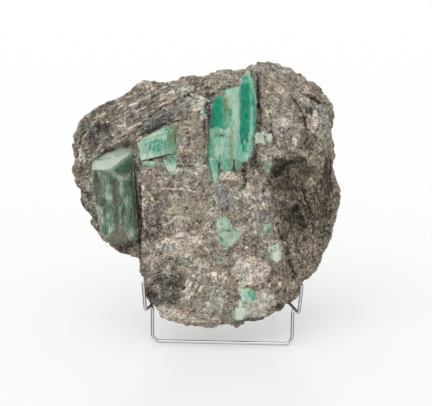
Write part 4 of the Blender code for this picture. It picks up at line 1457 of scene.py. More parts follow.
class Prism(NamedTuple):
    """A convex prism: its outline, the relief of its root and its front faces."""

    outline: Outline
    root: float
    facets: tuple[Facet, ...]

    def planes(self) -> list[tuple[Vector, Vector]]:
        """The planes that bound the prism, each a point and an outward direction."""
        found = [(Vector((0.0, -self.root, 0.0)), Vector((0.0, 1.0, 0.0)))]
        for (u0, w0), (u1, w1) in zip(self.outline, self.outline[1:] + self.outline[:1]):
            outward = Vector((w0 - w1, 0.0, u1 - u0)).normalized()
            point = Vector((u0, 0.0, w0))
            if outward.dot(point - self.centre()) < 0.0:
                outward = -outward
            found.append((point, outward))
        for u, w, relief, slope_u, slope_w in self.facets:
            outward = Vector((-slope_u, -1.0, -slope_w)).normalized()
            found.append((Vector((u, -relief, w)), outward))
        return found

    def centre(self) -> Vector:
        """The middle of the outline's corners."""
        u, w = (sum(places) for places in zip(*self.outline))
        return Vector((u, 0.0, w)) / len(self.outline)

    def solid(self) -> bmesh.types.BMesh:
        """The prism, cut from a block by its planes."""
        work = bmesh.new()
        bmesh.ops.create_cube(work, size=BLANK_SIZE, matrix=Matrix.Translation(self.centre()))
        for point, outward in self.planes():
            whole = [*work.verts, *work.edges, *work.faces]
            cut = bmesh.ops.bisect_plane(
                work, geom=whole, dist=1e-4, plane_co=point, plane_no=outward, clear_outer=True
            )
            rim = [item for item in cut["geom_cut"] if isinstance(item, bmesh.types.BMEdge)]
            if rim:
                bmesh.ops.edgenet_fill(work, edges=rim)
        bmesh.ops.remove_doubles(work, verts=work.verts, dist=0.02)
        bmesh.ops.recalc_face_normals(work, faces=work.faces)
        return work

    def edge_share(self, points: Values, width: float) -> tuple[Values, Values]:
        """How near each point lies to one of the prism's edges.

        Args:
            points: The places.
            width: How far from an edge still counts.

        Returns:
            The share, 1 on an edge, and each point's distance to the prism's skin.
        """
        starts, facings = (np.array([tuple(v) for v in vectors]) for vectors in zip(*self.planes()))
        away = points @ facings.T - np.einsum("ij,ij->i", starts, facings)
        away.sort(axis=1)
        share = smooth_step(1.0 - (away[:, -1] - away[:, -2]) / width)
        return share, np.abs(away[:, -1])


def prism(outline: Outline, root: float, *facets: tuple[float, ...]) -> Prism:
    """A prism from plain rows of numbers."""
    return Prism(outline, root, tuple(Facet(*row) for row in facets))


@dataclass(frozen=True)
class Crystal:
    """A crystal: the prisms that grew together, and what marks its faces."""

    name: str
    kind: Green
    prisms: tuple[Prism, ...]
    deep: Marks = ()
    milk: Marks = ()
    olive: Marks = ()
    dusk: Marks = ()
    stain: Marks = ()
    cracks: tuple[Crack, ...] = ()
    axis: float = 90.0
    seed: int = 1
    octree: int = 6
    stripe: float = 0.1
    wear: float = 0.45
    embed: float = 1.0
    collar: float = 5.0
    cover: float = 0.25
    ragged: float = 0.9
    fill: float = 0.92
    lift_range: Pair = (-1.1, 0.12)
    pit_depth: float = 0.45
    worn_edge: float = 1.3

    def front(self, u: Values, w: Values) -> tuple[Values, Values]:
        """Distance to the crystal's outline, negative inside, and the depth of its face."""
        away = np.full(len(u), np.inf)
        face = np.zeros(len(u))
        for each in self.prisms:
            gap = outline_distance(u, w, each.outline)
            planes = [
                relief + slope_u * (u - u0) + slope_w * (w - w0)
                for u0, w0, relief, slope_u, slope_w in each.facets
            ]
            face = np.where(gap < away, -np.minimum.reduce(planes), face)
            away = np.minimum(away, gap)
        return away, face

    def solid(self, shop: Workshop) -> Thing:
        """All prisms as one sharp solid."""
        whole, *others = (shop.tool(f"{self.name}_blank", each.solid()) for each in self.prisms)
        for other in others:
            combine(whole, other, "UNION", "EXACT")
        mesh = shop.settled(whole)
        whole.modifiers.clear()
        whole.data = mesh
        return whole

    def weathered(self, points: Values, normals: Values) -> tuple[Values, Values]:
        """The faces' stripes, growth steps, pits, worn edges and cracks.

        Args:
            points: The even mesh's vertices in the specimen's millimetres.
            normals: Their normals.

        Returns:
            The new places, and how near each lies to an edge.
        """
        u, w = points[:, 0], points[:, 2]
        angle = math.radians(self.axis)
        along = u * math.cos(angle) + w * math.sin(angle)
        across = w * math.cos(angle) - u * math.sin(angle)
        turned = np.column_stack((across, points[:, 1], along))
        lift = self.stripe * lumps(turned, (0.9, 0.9, 14.0), self.seed)
        lift += 1.6 * self.stripe * lumps(turned, (2.6, 2.6, 20.0), self.seed + 1)
        lift += 0.8 * self.stripe * lumps(points, 1.3, self.seed + 2)
        step = along / 7.0 + 1.3 * lumps(turned, (5.0, 5.0, 9.0), self.seed + 3)
        lift -= 1.2 * self.stripe * smooth_step((step - np.floor(step)) * 6.0 - 5.0)
        lift -= self.pit_depth * smooth_step((-lumps(points, 2.2, self.seed + 4) - 0.38) * 5.0)
        near = np.full(len(points), np.inf)
        worn = np.zeros(len(points))
        for each in self.prisms:
            share, away = each.edge_share(points, self.worn_edge)
            worn = np.where(away < near, share, worn)
            near = np.minimum(near, away)
        nibble = smooth_step(0.55 + 1.1 * lumps(points, 2.0, self.seed + 5))
        lift -= self.wear * worn * nibble
        lift -= self.cracked(points)[1]
        return points + normals * np.clip(lift, *self.lift_range)[:, None], worn

    def cracked(self, points: Values) -> tuple[Values, Values]:
        """How strongly each point lies on a crack, and how deep the crack is there."""
        u = points[:, 0] + 0.6 * lumps(points, 2.4, self.seed + 8)
        w = points[:, 2] + 0.6 * lumps(points, 2.4, self.seed + 9)
        uneven = smooth_step(0.7 + 1.5 * lumps(points, 2.6, self.seed + 10))
        share, depth = np.zeros(len(u)), np.zeros(len(u))
        for crack in self.cracks:
            here = crack.share(u, w) * uneven
            share = np.maximum(share, here)
            depth = np.maximum(depth, crack.depth * here)
        return share, depth

    def build(self, shop: Workshop, plane: SpecimenPlane, finish: EmeraldFinish) -> Thing:
        """The finished crystal.

        Args:
            shop: The workshop.
            plane: The specimen's plane.
            finish: The crystal's finish.

        Returns:
            The piece, which replaces the CAD's crystal.
        """
        whole = self.solid(shop)
        fine = whole.modifiers.new("Fine faces", "REMESH")
        fine.mode = "SHARP"
        fine.octree_depth = self.octree
        fine.scale = self.fill
        fine.use_remove_disconnected = False
        mesh = shop.settled(whole)
        sharp = shop.places(mesh)
        places, worn = self.weathered(sharp, shop.normals(mesh))
        # Stored for the colour too: paler along the edges, partly rubbed wear and partly a painted
        # highlight.
        shop.stain(mesh, "edge", worn)
        u, w = sharp[:, 0], sharp[:, 2]
        for name in ("deep", "milk", "olive", "dusk", "stain"):
            shop.stain(mesh, name, total_share(getattr(self, name), u, w))
        shop.stain(mesh, "crack", self.cracked(sharp)[0])
        shop.move(mesh, plane.to_world(places))
        shop.dress(mesh, finish.material())
        piece = shop.piece(f"{self.name}_crystal", mesh, self.kind.slot)
        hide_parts(self.name)
        return piece


LOOSE = {"collar": 4.0, "cover": 0.8, "ragged": 2.3}  # how the rock hugs the small crystals
TALL = Crystal(
    "emerald_tall", Green.DEEP,
    (
        prism(((22.2, 166), (23.2, 170), (27.4, 175.3), (31, 168.4), (32.8, 156), (33, 141),
               (31.8, 131), (29.8, 121.4), (26.8, 117.4), (21, 116.6)), 12,
               (26, 140, 25.2, 0.1, -0.01), (29.4, 140, 25.5, -0.75, 0),
               (26, 168, 25.2, 0.1, -0.55)),
        prism(((5.2, 157), (12, 162.6), (21, 165.4), (23.6, 165.4), (23.6, 117), (18, 115.6),
               (3, 115.6), (1.4, 120), (1.4, 126), (2.6, 139)), 12.2, (9, 130, 22.6, 0.05, -0.02),
               (18, 140, 23.6, 0.28, -0.01), (4, 130, 22.3, 1.1, 0), (12, 158, 22.4, 0.1, -0.3)),
        prism(((1.8, 120), (9.2, 120), (9, 112), (8.2, 103.4), (5.2, 102.8), (4.2, 104.6),
               (2.4, 113)), 12.4, (7, 110, 22.6, -0.1, -0.03), (4.2, 110, 22, 0.9, 0.15)),
        prism(((9.6, 119), (18.4, 119), (18, 112.8), (13.8, 110.2), (9.8, 113.2)), 12.4,
               (13.5, 114, 24, 0.12, 0.06), (11, 114, 23.7, 0.6, 0.1)),
        prism(((18.9, 119), (24.4, 118), (22.8, 112.6), (20.8, 110.6), (19.2, 113)), 12.4,
               (20.5, 114, 24, -0.25, 0.2)),
    ),
    deep=patches(
        (((23, 166), (24.4, 170.8), (27.4, 170), (29.4, 164), (29, 152), (28.8, 141), (27, 129),
          (25, 132.5), (23.2, 128.5), (22.2, 139), (22.4, 156)), 1.4, 3),
        (((5, 159.4), (9.4, 160.6), (13.2, 156), (13.4, 151), (16.6, 150.2), (16.2, 143.4),
          (12.6, 138), (8.6, 141), (3.4, 139.4), (4.4, 151)), 2.3, 4.2),
        (30.5, 158, 1.1, 6.5, 0.75, 4), (25.6, 126, 2.2, 3.6, 0.5), (32, 146, 1, 14, 0.6, 2),
        (26, 169.8, 2.2, 2.6, 0.6), (13.2, 112.8, 1, 2, 0.5), (30, 124, 1.3, 4, 0.55),
        (9, 116.5, 3.8, 3.2, 0.25), (10.5, 116.6, 1.4, 1.8, 0.7)),
    milk=patches(
        # The pale area on the middle face is milky colour and painted light on the face turned to
        # the upper left.
        (((13.4, 164), (21.4, 166), (21.6, 119), (17.8, 119), (16, 140)), 0.8, 2),
        # The first patch here, the thin line at (21, 147), is a painted highlight on the ridge.
        (21, 147, 0.6, 20, 1.5), (18.6, 156, 0.5, 9, 0.9), (9.5, 130.6, 4.2, 1.8, 1),
        (4.5, 136.5, 2.2, 3, 0.9), (9, 136.5, 6, 2.2, 0.9), (7.5, 124.5, 5.7, 6.5, 0.65),
        (15.5, 136, 3.8, 3.5, 0.7), (26.6, 122, 1.6, 4.5, 0.9), (9, 131.2, 2.8, 1.3, 0.8),
        (27, 172.5, 2.5, 2.4, 0.5), (13.6, 110, 1.8, 2.2, 0.8), (6.4, 106.5, 2.4, 4.6, 1.3),
        (22.5, 126, 1.3, 9, 0.5)),
    dusk=patches(
        (5, 116, 1.2, 2.5, 0.35), (4.2, 150, 0.8, 8, 0.5, 6), (9.4, 134.4, 3.8, 0.5, 0.7, -6),
        (10.5, 133.6, 1.6, 0.7, 0.8, 20), (11.2, 160.6, 2, 2, 0.9)),
    olive=patches(
        (16.8, 128, 1.8, 10.5, 1, -2), (14, 154, 2.6, 7, 0.8), (6, 160, 3, 3, 0.8),
        (17, 115.5, 3, 3.5, 0.7, 20), (10.5, 135.4, 3.6, 1.6, 0.7, -6), (29.8, 134, 1.2, 6, 0.5)),
    stain=patches(
        (8.6, 160.6, 4, 2, 0.9), (8.6, 133.6, 1.6, 0.5, 0.45), (19.4, 117.5, 3.8, 1.2, 0.6),
        (21, 112.5, 2.4, 2.2, 0.6), (17.5, 152.5, 0.9, 2.2, 0.2), (2.2, 128.2, 1.3, 1, 0.7)),
    cracks=cracks(
        (((5.5, 133), (9.5, 134.6), (12, 133.4), (16.5, 132.4)), 0.6, 0.6),
        (((1.4, 129), (3.5, 127.6), (6, 127.2)), 0.6, 0.5),
        (((9.6, 127.4), (14, 127.6), (17, 127)), 0.5, 0.3),
        (((9.5, 121), (10.5, 117.4), (13, 117.4), (15, 118.8), (17.5, 118),
          (21, 117.6)), 0.6, 0.5),
        (((9.4, 120), (9.2, 112), (8.8, 106)), 0.6, 0.5),
        (((10.2, 116.4), (12.8, 114), (13.4, 110.5)), 0.5, 0.6),
        (((12.8, 114), (16.4, 115), (18.4, 113)), 0.5, 0.5),
        (((3.4, 138.6), (8, 140.2), (12.6, 138), (16.5, 139)), 0.5, 0.3),
        (((2, 121), (6.5, 119.8), (9.5, 121)), 0.5, 0.4),
        (((24, 131.8), (25.4, 130.8), (26.4, 132.4)), 0.5, 0.4)),
    seed=41, octree=7, embed=0.6, collar=2.6, cover=0.0,
)
LEFT = Crystal(
    "emerald_left", Green.GREY,
    (
        prism(((-73.3, 118), (-70, 120.5), (-55, 126.8), (-48.5, 126.8), (-46, 123.8), (-43.6, 92),
               (-42.6, 71), (-46, 67), (-60, 64), (-66.3, 72), (-70, 90), (-72.6, 106)), 2,
               (-60, 95, 18, 0.12, 0), (-54.5, 95, 18.5, -0.34, 0), (-68, 95, 16.9, 1.3, 0),
               (-62, 112.2, 17.8, 0.1, -0.75), (-61, 112, 18.05, -0.231, -0.349),
               (-60, 68, 17, 0.05, 0.75)),
    ),
    milk=patches(
        # Painted light: the top face is made paler where it turns up toward the lamp.
        (((-73.8, 118.5), (-70, 121.5), (-55.5, 128), (-48, 128), (-45.5, 125.5), (-54, 118.4),
          (-61, 112.8), (-73.8, 112)), 1.9, 1.2),
        (-62.5, 103, 2.8, 6.1, 0.5), (-61.5, 93.5, 3.8, 6.4, 0.5), (-67, 82.5, 2.2, 8.8, 0.5, 8),
        (-60.5, 78, 2.6, 9.7, 0.5), (-48.5, 92, 2.4, 11, 0.45), (-50.5, 82, 2.8, 5, 0.5),
        (-47.5, 72, 3, 4, 0.9, -15), (-70.2, 88, 0.8, 14.8, 0.8, 12), (-53.2, 101, 1.2, 7, 0.5),
        # Painted highlights: the three pale streaks on the top face, on this line and the next.
        (-56.5, 122.6, 8, 0.9, 1.2, 26), (-51, 125.6, 5, 1.1, 1.4, -8),
        (-66, 115.5, 4.5, 0.7, 1.1, -20)),
    deep=patches(
        # Painted shade: this area darkens the facet below the ridge, which turns away from the
        # lamp.
        (((-45, 125), (-53.5, 118), (-60.5, 112), (-58, 110), (-48, 107.2),
          (-43, 107)), 1.05, 1.2),
        (-58.5, 105.5, 3.2, 3.8, 0.7), (-50, 103.5, 5, 3, 0.6), (-47, 84.5, 1.6, 4, 0.4),
        (-51.8, 88, 1, 3, 0.6)),
    dusk=patches(
        (-69.3, 102, 3, 8.3, 1.1, 6), (-66.5, 92, 4.1, 3.2, 0.9, -25), (-57.2, 100, 2.6, 6.3, 1),
        (-55.8, 93, 3, 4.3, 1.2), (-56, 80.5, 1.7, 9.9, 1.1), (-52, 85, 1.5, 2.8, 0.9),
        (-45.5, 96, 1.5, 25.6, 0.6, 4), (-64, 84, 1.1, 5.9, 0.7), (-63.3, 73.5, 1.3, 3.8, 0.5),
        (-70.5, 109, 2.8, 1.5, 0.7), (-54.5, 76.5, 3, 1.4, 0.6, 20)),
    stain=patches(
        (((-61.5, 62), (-62.5, 68.5), (-58, 73.5), (-52, 75), (-50, 70), (-47, 65.5),
          (-50, 60)), 1.3, 3),
        (-57, 103.5, 1.6, 2.4, 0.45)),
    cracks=cracks(
        (((-73.5, 111), (-67, 111.5), (-62.5, 109.5), (-57, 110), (-52.5, 108.5),
          (-47, 106.5)), 0.7, 0.4),
        (((-69.5, 92.5), (-65, 88.5), (-59, 88), (-56, 88.5)), 0.8, 0.5),
        (((-53, 68.5), (-51, 72.5), (-48, 74), (-43.5, 75)), 0.8, 0.5),
        (((-69, 118.5), (-62, 120), (-54.5, 121.5)), 0.6, 0.3)),
    axis=92.0, seed=52, octree=7, stripe=0.15, wear=0.7, embed=0.15, collar=2.5, cover=0.0,
)
MIDDLE = Crystal(
    "emerald_middle", Green.SOFT,
    (
        prism(((-42.3, 129.5), (-38, 133), (-28, 138.5), (-19, 139.8), (-18.6, 123), (-24, 121.6),
               (-40.5, 117.8), (-41.5, 123)), 14, (-33, 125, 25, 0.04, -0.05),
               (-30, 132, 25, 0.28, -0.95), (-23.6, 126, 24.9, -0.85, 0)),
        prism(((-27, 137), (-22.6, 140.4), (-18.2, 140.8), (-17.4, 128), (-19, 122), (-24, 122)),
               14, (-21, 132, 22.2, -0.25, -0.2)),
    ),
    deep=patches(
        (-30, 128, 7.6, 5.4, 0.5), (-24, 130, 1, 8.6, 0.9, -8), (-22.5, 139.5, 3.4, 3.4, 0.5, 20)),
    milk=patches(
        (-37, 120.5, 4.7, 2.6, 0.8), (-32, 134.5, 8.2, 1, 1, 20), (-20, 124.5, 1.3, 5.1, 0.6),
        (-40.5, 125, 1, 5, 0.8)),
    stain=patches(
        (-20, 121.6, 2.2, 1.4, 1), (-27, 120.6, 3, 0.8, 0.8, 10), (-20.5, 140.4, 3.4, 1.2, 0.7)),
    olive=patches((-20.6, 134, 2.4, 7.5, 1), (-19.5, 127, 1.6, 5, 0.7)),
    dusk=patches((-18.8, 134, 0.9, 7, 0.6)),
    axis=15.0, seed=63, octree=7, embed=0.7, collar=2.6,
)
SLIVER = Crystal(
    "emerald_middle_sliver", Green.SOFT,
    (
        prism(((-39.6, 117.2), (-36, 117.4), (-30, 117.4), (-31, 114.5), (-36, 113.6),
               (-39, 115.6)), 16, (-35, 116, 24.6, 0.05, 0.35)),
    ),
    milk=patches((-35.5, 116, 4.4, 1.3, 0.7)),
    axis=5.0, seed=64, cover=0.3, ragged=1.0,
)
CHIPS = Crystal(
    "emerald_middle_chips", Green.SOFT,
    (
        prism(((-28.6, 118), (-24, 121), (-18.2, 121.8), (-17.6, 114.6), (-18.6, 109.4),
               (-24, 109.4), (-25.6, 114)), 15, (-22, 116, 26.2, 0.05, -0.15),
               (-22, 113, 26.2, 0, 0.2)),
    ),
    deep=patches((-21, 118.5, 1.9, 2.5, 0.6), (-24, 120.5, 1.3, 1, 0.8)),
    milk=patches((-21.5, 111.5, 3.4, 3.2, 1.4)),
    dusk=patches((-22, 119, 4.4, 1.6, 0.7)),
    seed=65, cover=0.3, ragged=1.0, wear=0.7,
)
CENTRE = Crystal(
    "emerald_centre", Green.MIXED,
    (
        prism(((7.2, 80.5), (13.5, 82.6), (17, 78), (18.6, 70), (8.6, 70), (7, 75)), 14,
               (12, 77, 26.6, -0.08, -0.12), (8, 74, 26.4, 0.5, 0)),
        prism(((8, 71.5), (18, 74.5), (23.4, 72.2), (21.6, 68), (17, 63.6), (13.4, 62.2),
               (10.2, 65)), 14.2, (15, 70, 27, -0.12, 0.14), (19, 69, 26.8, -0.4, 0.25),
               (12, 72, 27, 0.1, -0.5)),
    ),
    deep=patches((11, 68.5, 1.8, 2.6, 0.45), (12, 75.5, 1.8, 1.6, 0.35)),
    milk=patches((11.5, 78, 4.4, 3.6, 0.8), (17.5, 66.5, 3.5, 2.6, 0.95, -20)),
    dusk=patches((12.8, 74, 3.6, 0.7, 0.4, -8)),
    stain=patches((10.5, 77.5, 1.4, 1, 0.5), (13.5, 62, 2.4, 0.6, 0.3, 10)),
    cracks=cracks((((9.5, 72), (12.5, 73.8), (15.5, 73.4), (18.5, 71.6)), 0.8, 0.6)),
    axis=70.0, seed=66, **LOOSE,
)
LOWER_RIGHT = Crystal(
    "emerald_lower_right", Green.SOFT,
    (
        prism(((21.6, 35), (24, 37.2), (29, 37), (32.4, 34), (32.2, 29.4), (29, 27.8), (24, 28.4)),
               12, (28, 33, 26.2, 0.1, -0.1), (30.5, 32, 26.2, -0.35, 0.1)),
    ),
    deep=patches((30.2, 32.6, 2.4, 4, 0.75, 35), (26.5, 31, 0.8, 3, 0.5, 35)),
    milk=patches((24.5, 33, 3, 4, 0.8), (28.2, 34.5, 0.8, 3.5, 0.7, 35)),
    axis=125.0, seed=67, **LOOSE,
)
BOTTOM_EDGE = Crystal(
    "emerald_bottom_edge", Green.PALE,
    (
        prism(((20, 24.6), (26.6, 25), (26.4, 20), (24, 16.4), (20.4, 16.6), (19, 20)), 10,
               (23, 21, 24.4, 0, 0.35)),
    ),
    milk=patches((23, 21, 4, 5, 1.2)),
    seed=68, **LOOSE,
)
RIGHT_SMALL = Crystal(
    "emerald_right_small", Green.MIXED,
    (
        prism(((37.6, 77.6), (42, 77.6), (42.6, 73), (41, 71), (38.4, 71.4), (37.2, 74)), 14,
               (40, 74, 25.6, 0.05, 0.1)),
    ),
    milk=patches((38.6, 75.5, 1.6, 2, 0.6)),
    dusk=patches((41, 73.5, 2, 2.4, 0.5), (38.6, 72.2, 1.4, 1.2, 0.5)),
    seed=69, **LOOSE,
)
RIGHT_PALE = Crystal(
    "emerald_right_pale", Green.PALE,
    (
        prism(((42.4, 62), (46.4, 62.8), (48.6, 60), (48.4, 55.4), (45.6, 53.2), (42.6, 55)), 14,
               (45.5, 58, 25.4, -0.1, 0.05)),
    ),
    milk=patches((45.5, 57, 2.6, 3.6, 1)),
    deep=patches((44.5, 60.6, 1.6, 1.2, 0.5)),
    seed=70, **LOOSE,
)
BERYL = Crystal(
    "beryl_pale", Green.PALE,
    (
        prism(((31.6, 133.4), (33.2, 136), (36.4, 135.6), (37.8, 132.2), (38.2, 129),
               (31.9, 128.6)), 14, (35, 132, 26, -0.1, -0.1), (33, 130, 25.8, 0.25, 0.3)),
        prism(((37.4, 134.8), (42.7, 135), (43.4, 131.6), (41.4, 129.2), (39.4, 130.6)), 14,
               (40, 132, 24.8, -0.15, 0.1)),
    ),
    axis=10.0, seed=71, **LOOSE,
)
CRYSTALS = (
    TALL, LEFT, MIDDLE, SLIVER, CHIPS, CENTRE, LOWER_RIGHT, BOTTOM_EDGE, RIGHT_SMALL, RIGHT_PALE,
    BERYL,
)


# ---- the stand


@dataclass(frozen=True)
class WireStand:
    """An easel of three bent wires: a cradle that holds the rock, and a foot under each end."""

    shop: Workshop
    place: Triple = (12.5, -23.2, 0.0)
    lean: float = math.radians(15.0)
    wire_radius: float = 1.2
    round_radius: float = 1.13
    way_gap: float = 0.3
    sides: int = 8
    bend_steps: int = 14
    ledge_height: float = 25.0
    ledge_front: float = -15.0
    ledge_back: float = 34.8
    spread_front: float = 48.8
    spread_back: float = 33.6
    hook_rise: float = 19.0
    hook_flare: float = 1.5
    hook_bend: float = 2.2
    back_top: float = 112.0
    back_bend: float = 14.0
    front_foot_y: float = -6.0
    foot_spread: float = 45.0
    foot_bend: float = 5.0
    rear_foot_y: float = 63.0
    rear_join: float = 76.0
    weld_gap: float = 0.3
    hang_inset: float = 2.5
    hang_slope: float = 2.2
    overhang_start: float = -15.0
    overhang_drop: float = 30.0
    underside: Triple = (10.0, -6.0, 0.75)  # height, where its rise starts, and its slope

    def spread(self, y: Values | float) -> Values:
        """Half the distance between the ledges at each depth."""
        run = (y - self.ledge_front) / (self.ledge_back - self.ledge_front)
        return self.spread_front + (self.spread_back - self.spread_front) * np.clip(run, 0, 1)

    def lowest_rock(self, u: Values, y: Values, plane: SpecimenPlane) -> Values:
        """The lowest that the rock may reach where it sits on the ledges or hangs between them.

        Args:
            u: The rock's places to the right.
            y: Their depths.
            plane: The specimen's plane.

        Returns:
            The least height at each place.
        """
        sine, cosine = math.sin(plane.lean), math.cos(plane.lean)
        spread = self.spread(y * cosine + (self.ledge_height - plane.place[2]) * sine)
        wire_top = self.ledge_height + self.wire_radius + self.way_gap - plane.place[2]
        seat = (wire_top + y * sine) / cosine
        centre = self.place[0] - plane.place[0]
        inside = np.maximum(spread - self.hang_inset - np.abs(u - centre), 0.0)
        overhang = np.where(y < self.overhang_start, self.overhang_drop, 0.0)
        lowest = seat - self.hang_slope * inside - overhang
        height, start, slope = self.underside
        return np.maximum(lowest, height + slope * np.maximum(y - start, 0.0))

    def rounded(self, corners: list[Triple], radii: tuple[float, ...]) -> list[Vector]:
        """A wire's centre line: straight runs joined by arcs of the given bend radii."""
        path = [Vector(corners[0])]
        for before, at, after, radius in zip(corners, corners[1:], corners[2:], radii):
            corner = Vector(at)
            arriving = (Vector(before) - corner).normalized()
            leaving = (Vector(after) - corner).normalized()
            half = arriving.angle(leaving) / 2.0
            set_back = radius / math.tan(half)
            middle = corner + (arriving + leaving).normalized() * radius / math.sin(half)
            start = corner + arriving * set_back - middle
            turn = start.rotation_difference(corner + leaving * set_back - middle)
            for step in range(self.bend_steps + 1):
                arc = start.copy()
                arc.rotate(Matrix.Rotation(turn.angle * step / self.bend_steps, 3, turn.axis))
                path.append(middle + arc)
        path.append(Vector(corners[-1]))
        return path

    def cradle_path(self) -> list[Vector]:
        """One wire: hook, ledge, back upright and over to the other side."""
        rise = (self.back_top - self.ledge_height) * math.tan(self.lean)
        hook_top = self.ledge_height + self.hook_rise
        left = [
            (-self.spread_front - self.hook_flare, self.ledge_front, hook_top),
            (-self.spread_front, self.ledge_front, self.ledge_height),
            (-self.spread_back, self.ledge_back, self.ledge_height),
            (-self.spread_back, self.ledge_back + rise, self.back_top),
        ]
        right = [(-x, y, z) for x, y, z in reversed(left)]
        hook, foot, back = self.hook_bend, self.foot_bend, self.back_bend
        return self.rounded(left + right, (hook, foot, back, back, foot, hook))

    def foot_path(self, spread: float, bar_y: float, top_y: float, top: float) -> list[Vector]:
        """A foot: a bar on the table that turns up at both ends to the given height."""
        table = self.wire_radius * math.cos(math.pi / self.sides)
        corners = [
            (-spread, top_y, top),
            (-spread, bar_y, table),
            (spread, bar_y, table),
            (spread, top_y, top),
        ]
        return self.rounded(corners, (self.foot_bend, self.foot_bend))

    def behind(self) -> float:
        """How far back the rear foot meets the uprights."""
        upright = self.ledge_back + (self.rear_join - self.ledge_height) * math.tan(self.lean)
        return upright + 2.0 * self.wire_radius + self.weld_gap

    def paths(self) -> dict[str, list[Vector]]:
        """The centre line of each wire, by the name of the CAD's wire."""
        under = self.ledge_height - self.wire_radius - self.weld_gap
        front, rear = self.front_foot_y, self.rear_foot_y
        return {
            "cradle_wire": self.cradle_path(),
            "front_foot": self.foot_path(self.foot_spread, front, front, under),
            "rear_foot": self.foot_path(self.spread_back, rear, self.behind(), self.rear_join),
        }

    def tube(self, name: str, path: list[Vector], radius: float, rounded: bool) -> Mesh:
        """A wire's mesh in the stand's millimetres.

        Args:
            name: Its name.
            path: Its centre line.
            radius: Its radius.
            rounded: Whether its ends are rounded off.

        Returns:
            The closed mesh.
        """
        profile = [(0.0, 1.0)]
        if rounded:
            profile = [(0.0, 0.02), (0.12, 0.47), (0.35, 0.76), (0.65, 0.94), (1.0, 1.0)]
        head = (path[1] - path[0]).normalized() * radius
        tail = (path[-2] - path[-1]).normalized() * radius
        rows = [(path[0] + head * away, share) for away, share in profile]
        rows += [(place, 1.0) for place in path[1:-1]]
        rows += [(path[-1] + tail * away, share) for away, share in reversed(profile)]
        curve = bpy.data.curves.new(name, "CURVE")
        curve.dimensions = "3D"
        curve.bevel_depth = radius
        curve.bevel_resolution = 10
        curve.use_fill_caps = True
        spline = curve.splines.new("POLY")
        spline.points.add(len(rows) - 1)
        for point, (place, share) in zip(spline.points, rows):
            point.co = (*place, 1.0)
            point.radius = share
        drawn = bpy.data.objects.new(name, curve)
        self.shop.tools.objects.link(drawn)
        mesh = self.shop.settled(drawn)
        bpy.data.objects.remove(drawn, do_unlink=True)
        work = bmesh.new()
        work.from_mesh(mesh)
        bmesh.ops.remove_doubles(work, verts=work.verts, dist=1e-4)
        bmesh.ops.recalc_face_normals(work, faces=work.faces)
        work.to_mesh(mesh)
        work.free()
        return mesh

    def ways(self, plane: SpecimenPlane) -> list[Thing]:
        """What clears each wire's way past the rock, in the specimen's millimetres."""
        made = []
        for name, path in self.paths().items():
            mesh = self.tube(f"way_{name}", path, self.wire_radius + self.way_gap, False)
            self.shop.move(mesh, plane.from_world(self.shop.places(mesh) + self.place))
            way = bpy.data.objects.new(mesh.name, mesh)
            self.shop.tools.objects.link(way)
            made.append(way)
        return made

    def beads(self) -> Mesh:
        """The weld beads at the four joints."""
        work = bmesh.new()
        under = self.ledge_height - self.wire_radius - self.weld_gap
        ledge = self.spread(self.front_foot_y)
        upright = self.behind() - self.wire_radius - 0.5 * self.weld_gap
        joints = (
            (0.5 * (self.foot_spread + ledge), self.front_foot_y, under + 0.2, (1.5, 1.5, 1.1)),
            (self.spread_back, upright, self.rear_join - 1.6, (1.35, 1.3, 2.2)),
        )
        for x, y, z, sizes in joints:
            for side in (-1.0, 1.0):
                where = Matrix.Translation((side * x, y, z)) @ Matrix.Diagonal((*sizes, 1.0))
                ball = bmesh.ops.create_icosphere(work, subdivisions=4, radius=1.0, matrix=where)
                for vert in ball["verts"]:
                    bump = noise.noise(vert.co * 1.3)
                    vert.co += (vert.co - where.translation) * 0.1 * bump
        mesh = bpy.data.meshes.new("weld_beads")
        work.to_mesh(mesh)
        work.free()
        return mesh

    def build(self, finish: ChromeFinish) -> list[Thing]:
        """The three wires and their weld beads.

        Args:
            finish: Their finish.

        Returns:
            The pieces; each wire replaces the CAD's wire.
        """
        shop = self.shop
        chrome = finish.material()
        made = []
        meshes = {
            name: self.tube(name, path, self.round_radius, True)
            for name, path in self.paths().items()
        }
        meshes["weld_beads"] = self.beads()
        for name, mesh in meshes.items():
            shop.move(mesh, (shop.places(mesh) + self.place) * MM)
            shop.dress(mesh, chrome)
            bright = name if name == "weld_beads" else f"{name}_chromed"
            piece = shop.piece(bright, mesh, "chrome")
            if name != "weld_beads":
                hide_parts(name)
            made.append(piece)
        return made


# ---- the studio


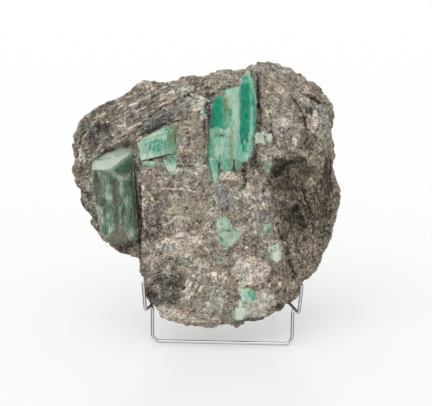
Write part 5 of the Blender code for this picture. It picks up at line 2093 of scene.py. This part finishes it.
@dataclass(frozen=True)
class Studio:
    """A white sweep under a broad soft dome, one soft key light and the camera."""

    plane: SpecimenPlane
    floor_size: float = 12.0
    floor_height: float = -0.022
    dome: float = 0.85
    cards: tuple[tuple[float, float, float, float], ...] = (
        (-90.0, -10.0, 44.0, 0.95), (90.0, -10.0, 40.0, 0.8),
        (180.0, 82.0, 46.0, 1.0), (180.0, -76.0, 34.0, 0.75),
    )
    key: float = 0.95
    key_angle: float = math.radians(60.0)
    key_height: float = math.radians(58.0)
    key_side: float = math.radians(-35.0)
    camera_place: Triple = (7.15, -1000.0, 91.0)
    lens: float = 128.2

    def floor(self) -> None:
        """The sweep that the stand is on."""
        work = bmesh.new()
        bmesh.ops.create_grid(work, x_segments=1, y_segments=1, size=self.floor_size / 2.0)
        bmesh.ops.translate(work, verts=work.verts, vec=(0.0, 0.0, self.floor_height * MM))
        mesh = bpy.data.meshes.new("white_sweep")
        work.to_mesh(mesh)
        work.free()
        mesh.materials.append(FloorFinish().material())
        made = bpy.data.objects.new("white_sweep", mesh)
        bpy.context.scene.collection.objects.link(made)
        made.visible_glossy = False

    def world(self) -> None:
        """A white dome, with dark cards that only reflections see, to draw the wires' edges."""
        world = bpy.data.worlds.new("soft_dome")
        world.use_nodes = True
        bpy.context.scene.world = world
        nodes = Nodes(world.node_tree)
        place = nodes.node("TexCoord").outputs["Generated"]
        glossy = nodes.node("LightPath").outputs["Is Glossy Ray"]
        level: Any = 1.0
        for *degrees, strength in self.cards:
            side, height, edge = (math.radians(angle) for angle in degrees)
            inputs = {0: place, 1: toward(side, height)}
            facing = nodes.node("VectorMath", inputs, operation="DOT_PRODUCT")
            near, far = math.cos(edge * 0.6), math.cos(edge)
            card = nodes.step(facing.outputs["Value"], far, near, 1.0, 1.0 - strength)
            level = nodes.times(level, card)
        plain = nodes.sum("MAXIMUM", level, nodes.sum("SUBTRACT", 1.0, glossy))
        lit = {"Color": (1.0, 1.0, 1.0), "Strength": nodes.times(plain, self.dome)}
        nodes.feed(world.node_tree.nodes["Background"], lit)

    def key_light(self) -> None:
        """The key, from the upper left on the viewer's side."""
        light = bpy.data.lights.new("key", "SUN")
        light.energy = self.key
        light.angle = self.key_angle
        made = bpy.data.objects.new("key", light)
        bpy.context.scene.collection.objects.link(made)
        source = toward(self.key_side, self.key_height)
        made.matrix_world = source.to_track_quat("Z", "Y").to_matrix().to_4x4()

    def camera(self) -> None:
        """The camera, square to the specimen's plane."""
        camera = bpy.data.cameras.new("camera")
        camera.lens = self.lens
        camera.clip_end = 50.0
        made = bpy.data.objects.new("camera", camera)
        bpy.context.scene.collection.objects.link(made)
        turned = self.plane.turned()
        place = (Vector(self.plane.place) + turned @ Vector(self.camera_place)) * MM
        facing = (turned @ Matrix.Rotation(math.radians(90.0), 3, "X")).to_4x4()
        made.matrix_world = Matrix.Translation(place) @ facing
        bpy.context.scene.camera = made

    def build(self) -> None:
        """Everything round the object."""
        self.floor()
        self.world()
        self.key_light()
        self.camera()
        bpy.context.scene.view_settings.view_transform = "Standard"


def main() -> None:
    """Builds the studio, the stand, the crystals and the rock, in that order."""
    logging.basicConfig(level=logging.INFO, format="%(message)s")
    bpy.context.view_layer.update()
    plane = SpecimenPlane()
    shop = Workshop()
    Studio(plane).build()
    stand = WireStand(shop)
    stand.build(ChromeFinish())
    rock = RockForm(plane, shop)
    cutters = stand.ways(plane)
    for crystal in CRYSTALS:
        crystal.build(shop, plane, FINISHES[crystal.kind])
    rock.build(stand, cutters, SchistFinish())
    for tool in list(shop.tools.objects):
        bpy.data.objects.remove(tool, do_unlink=True)


if __name__ == "__main__":
    main()
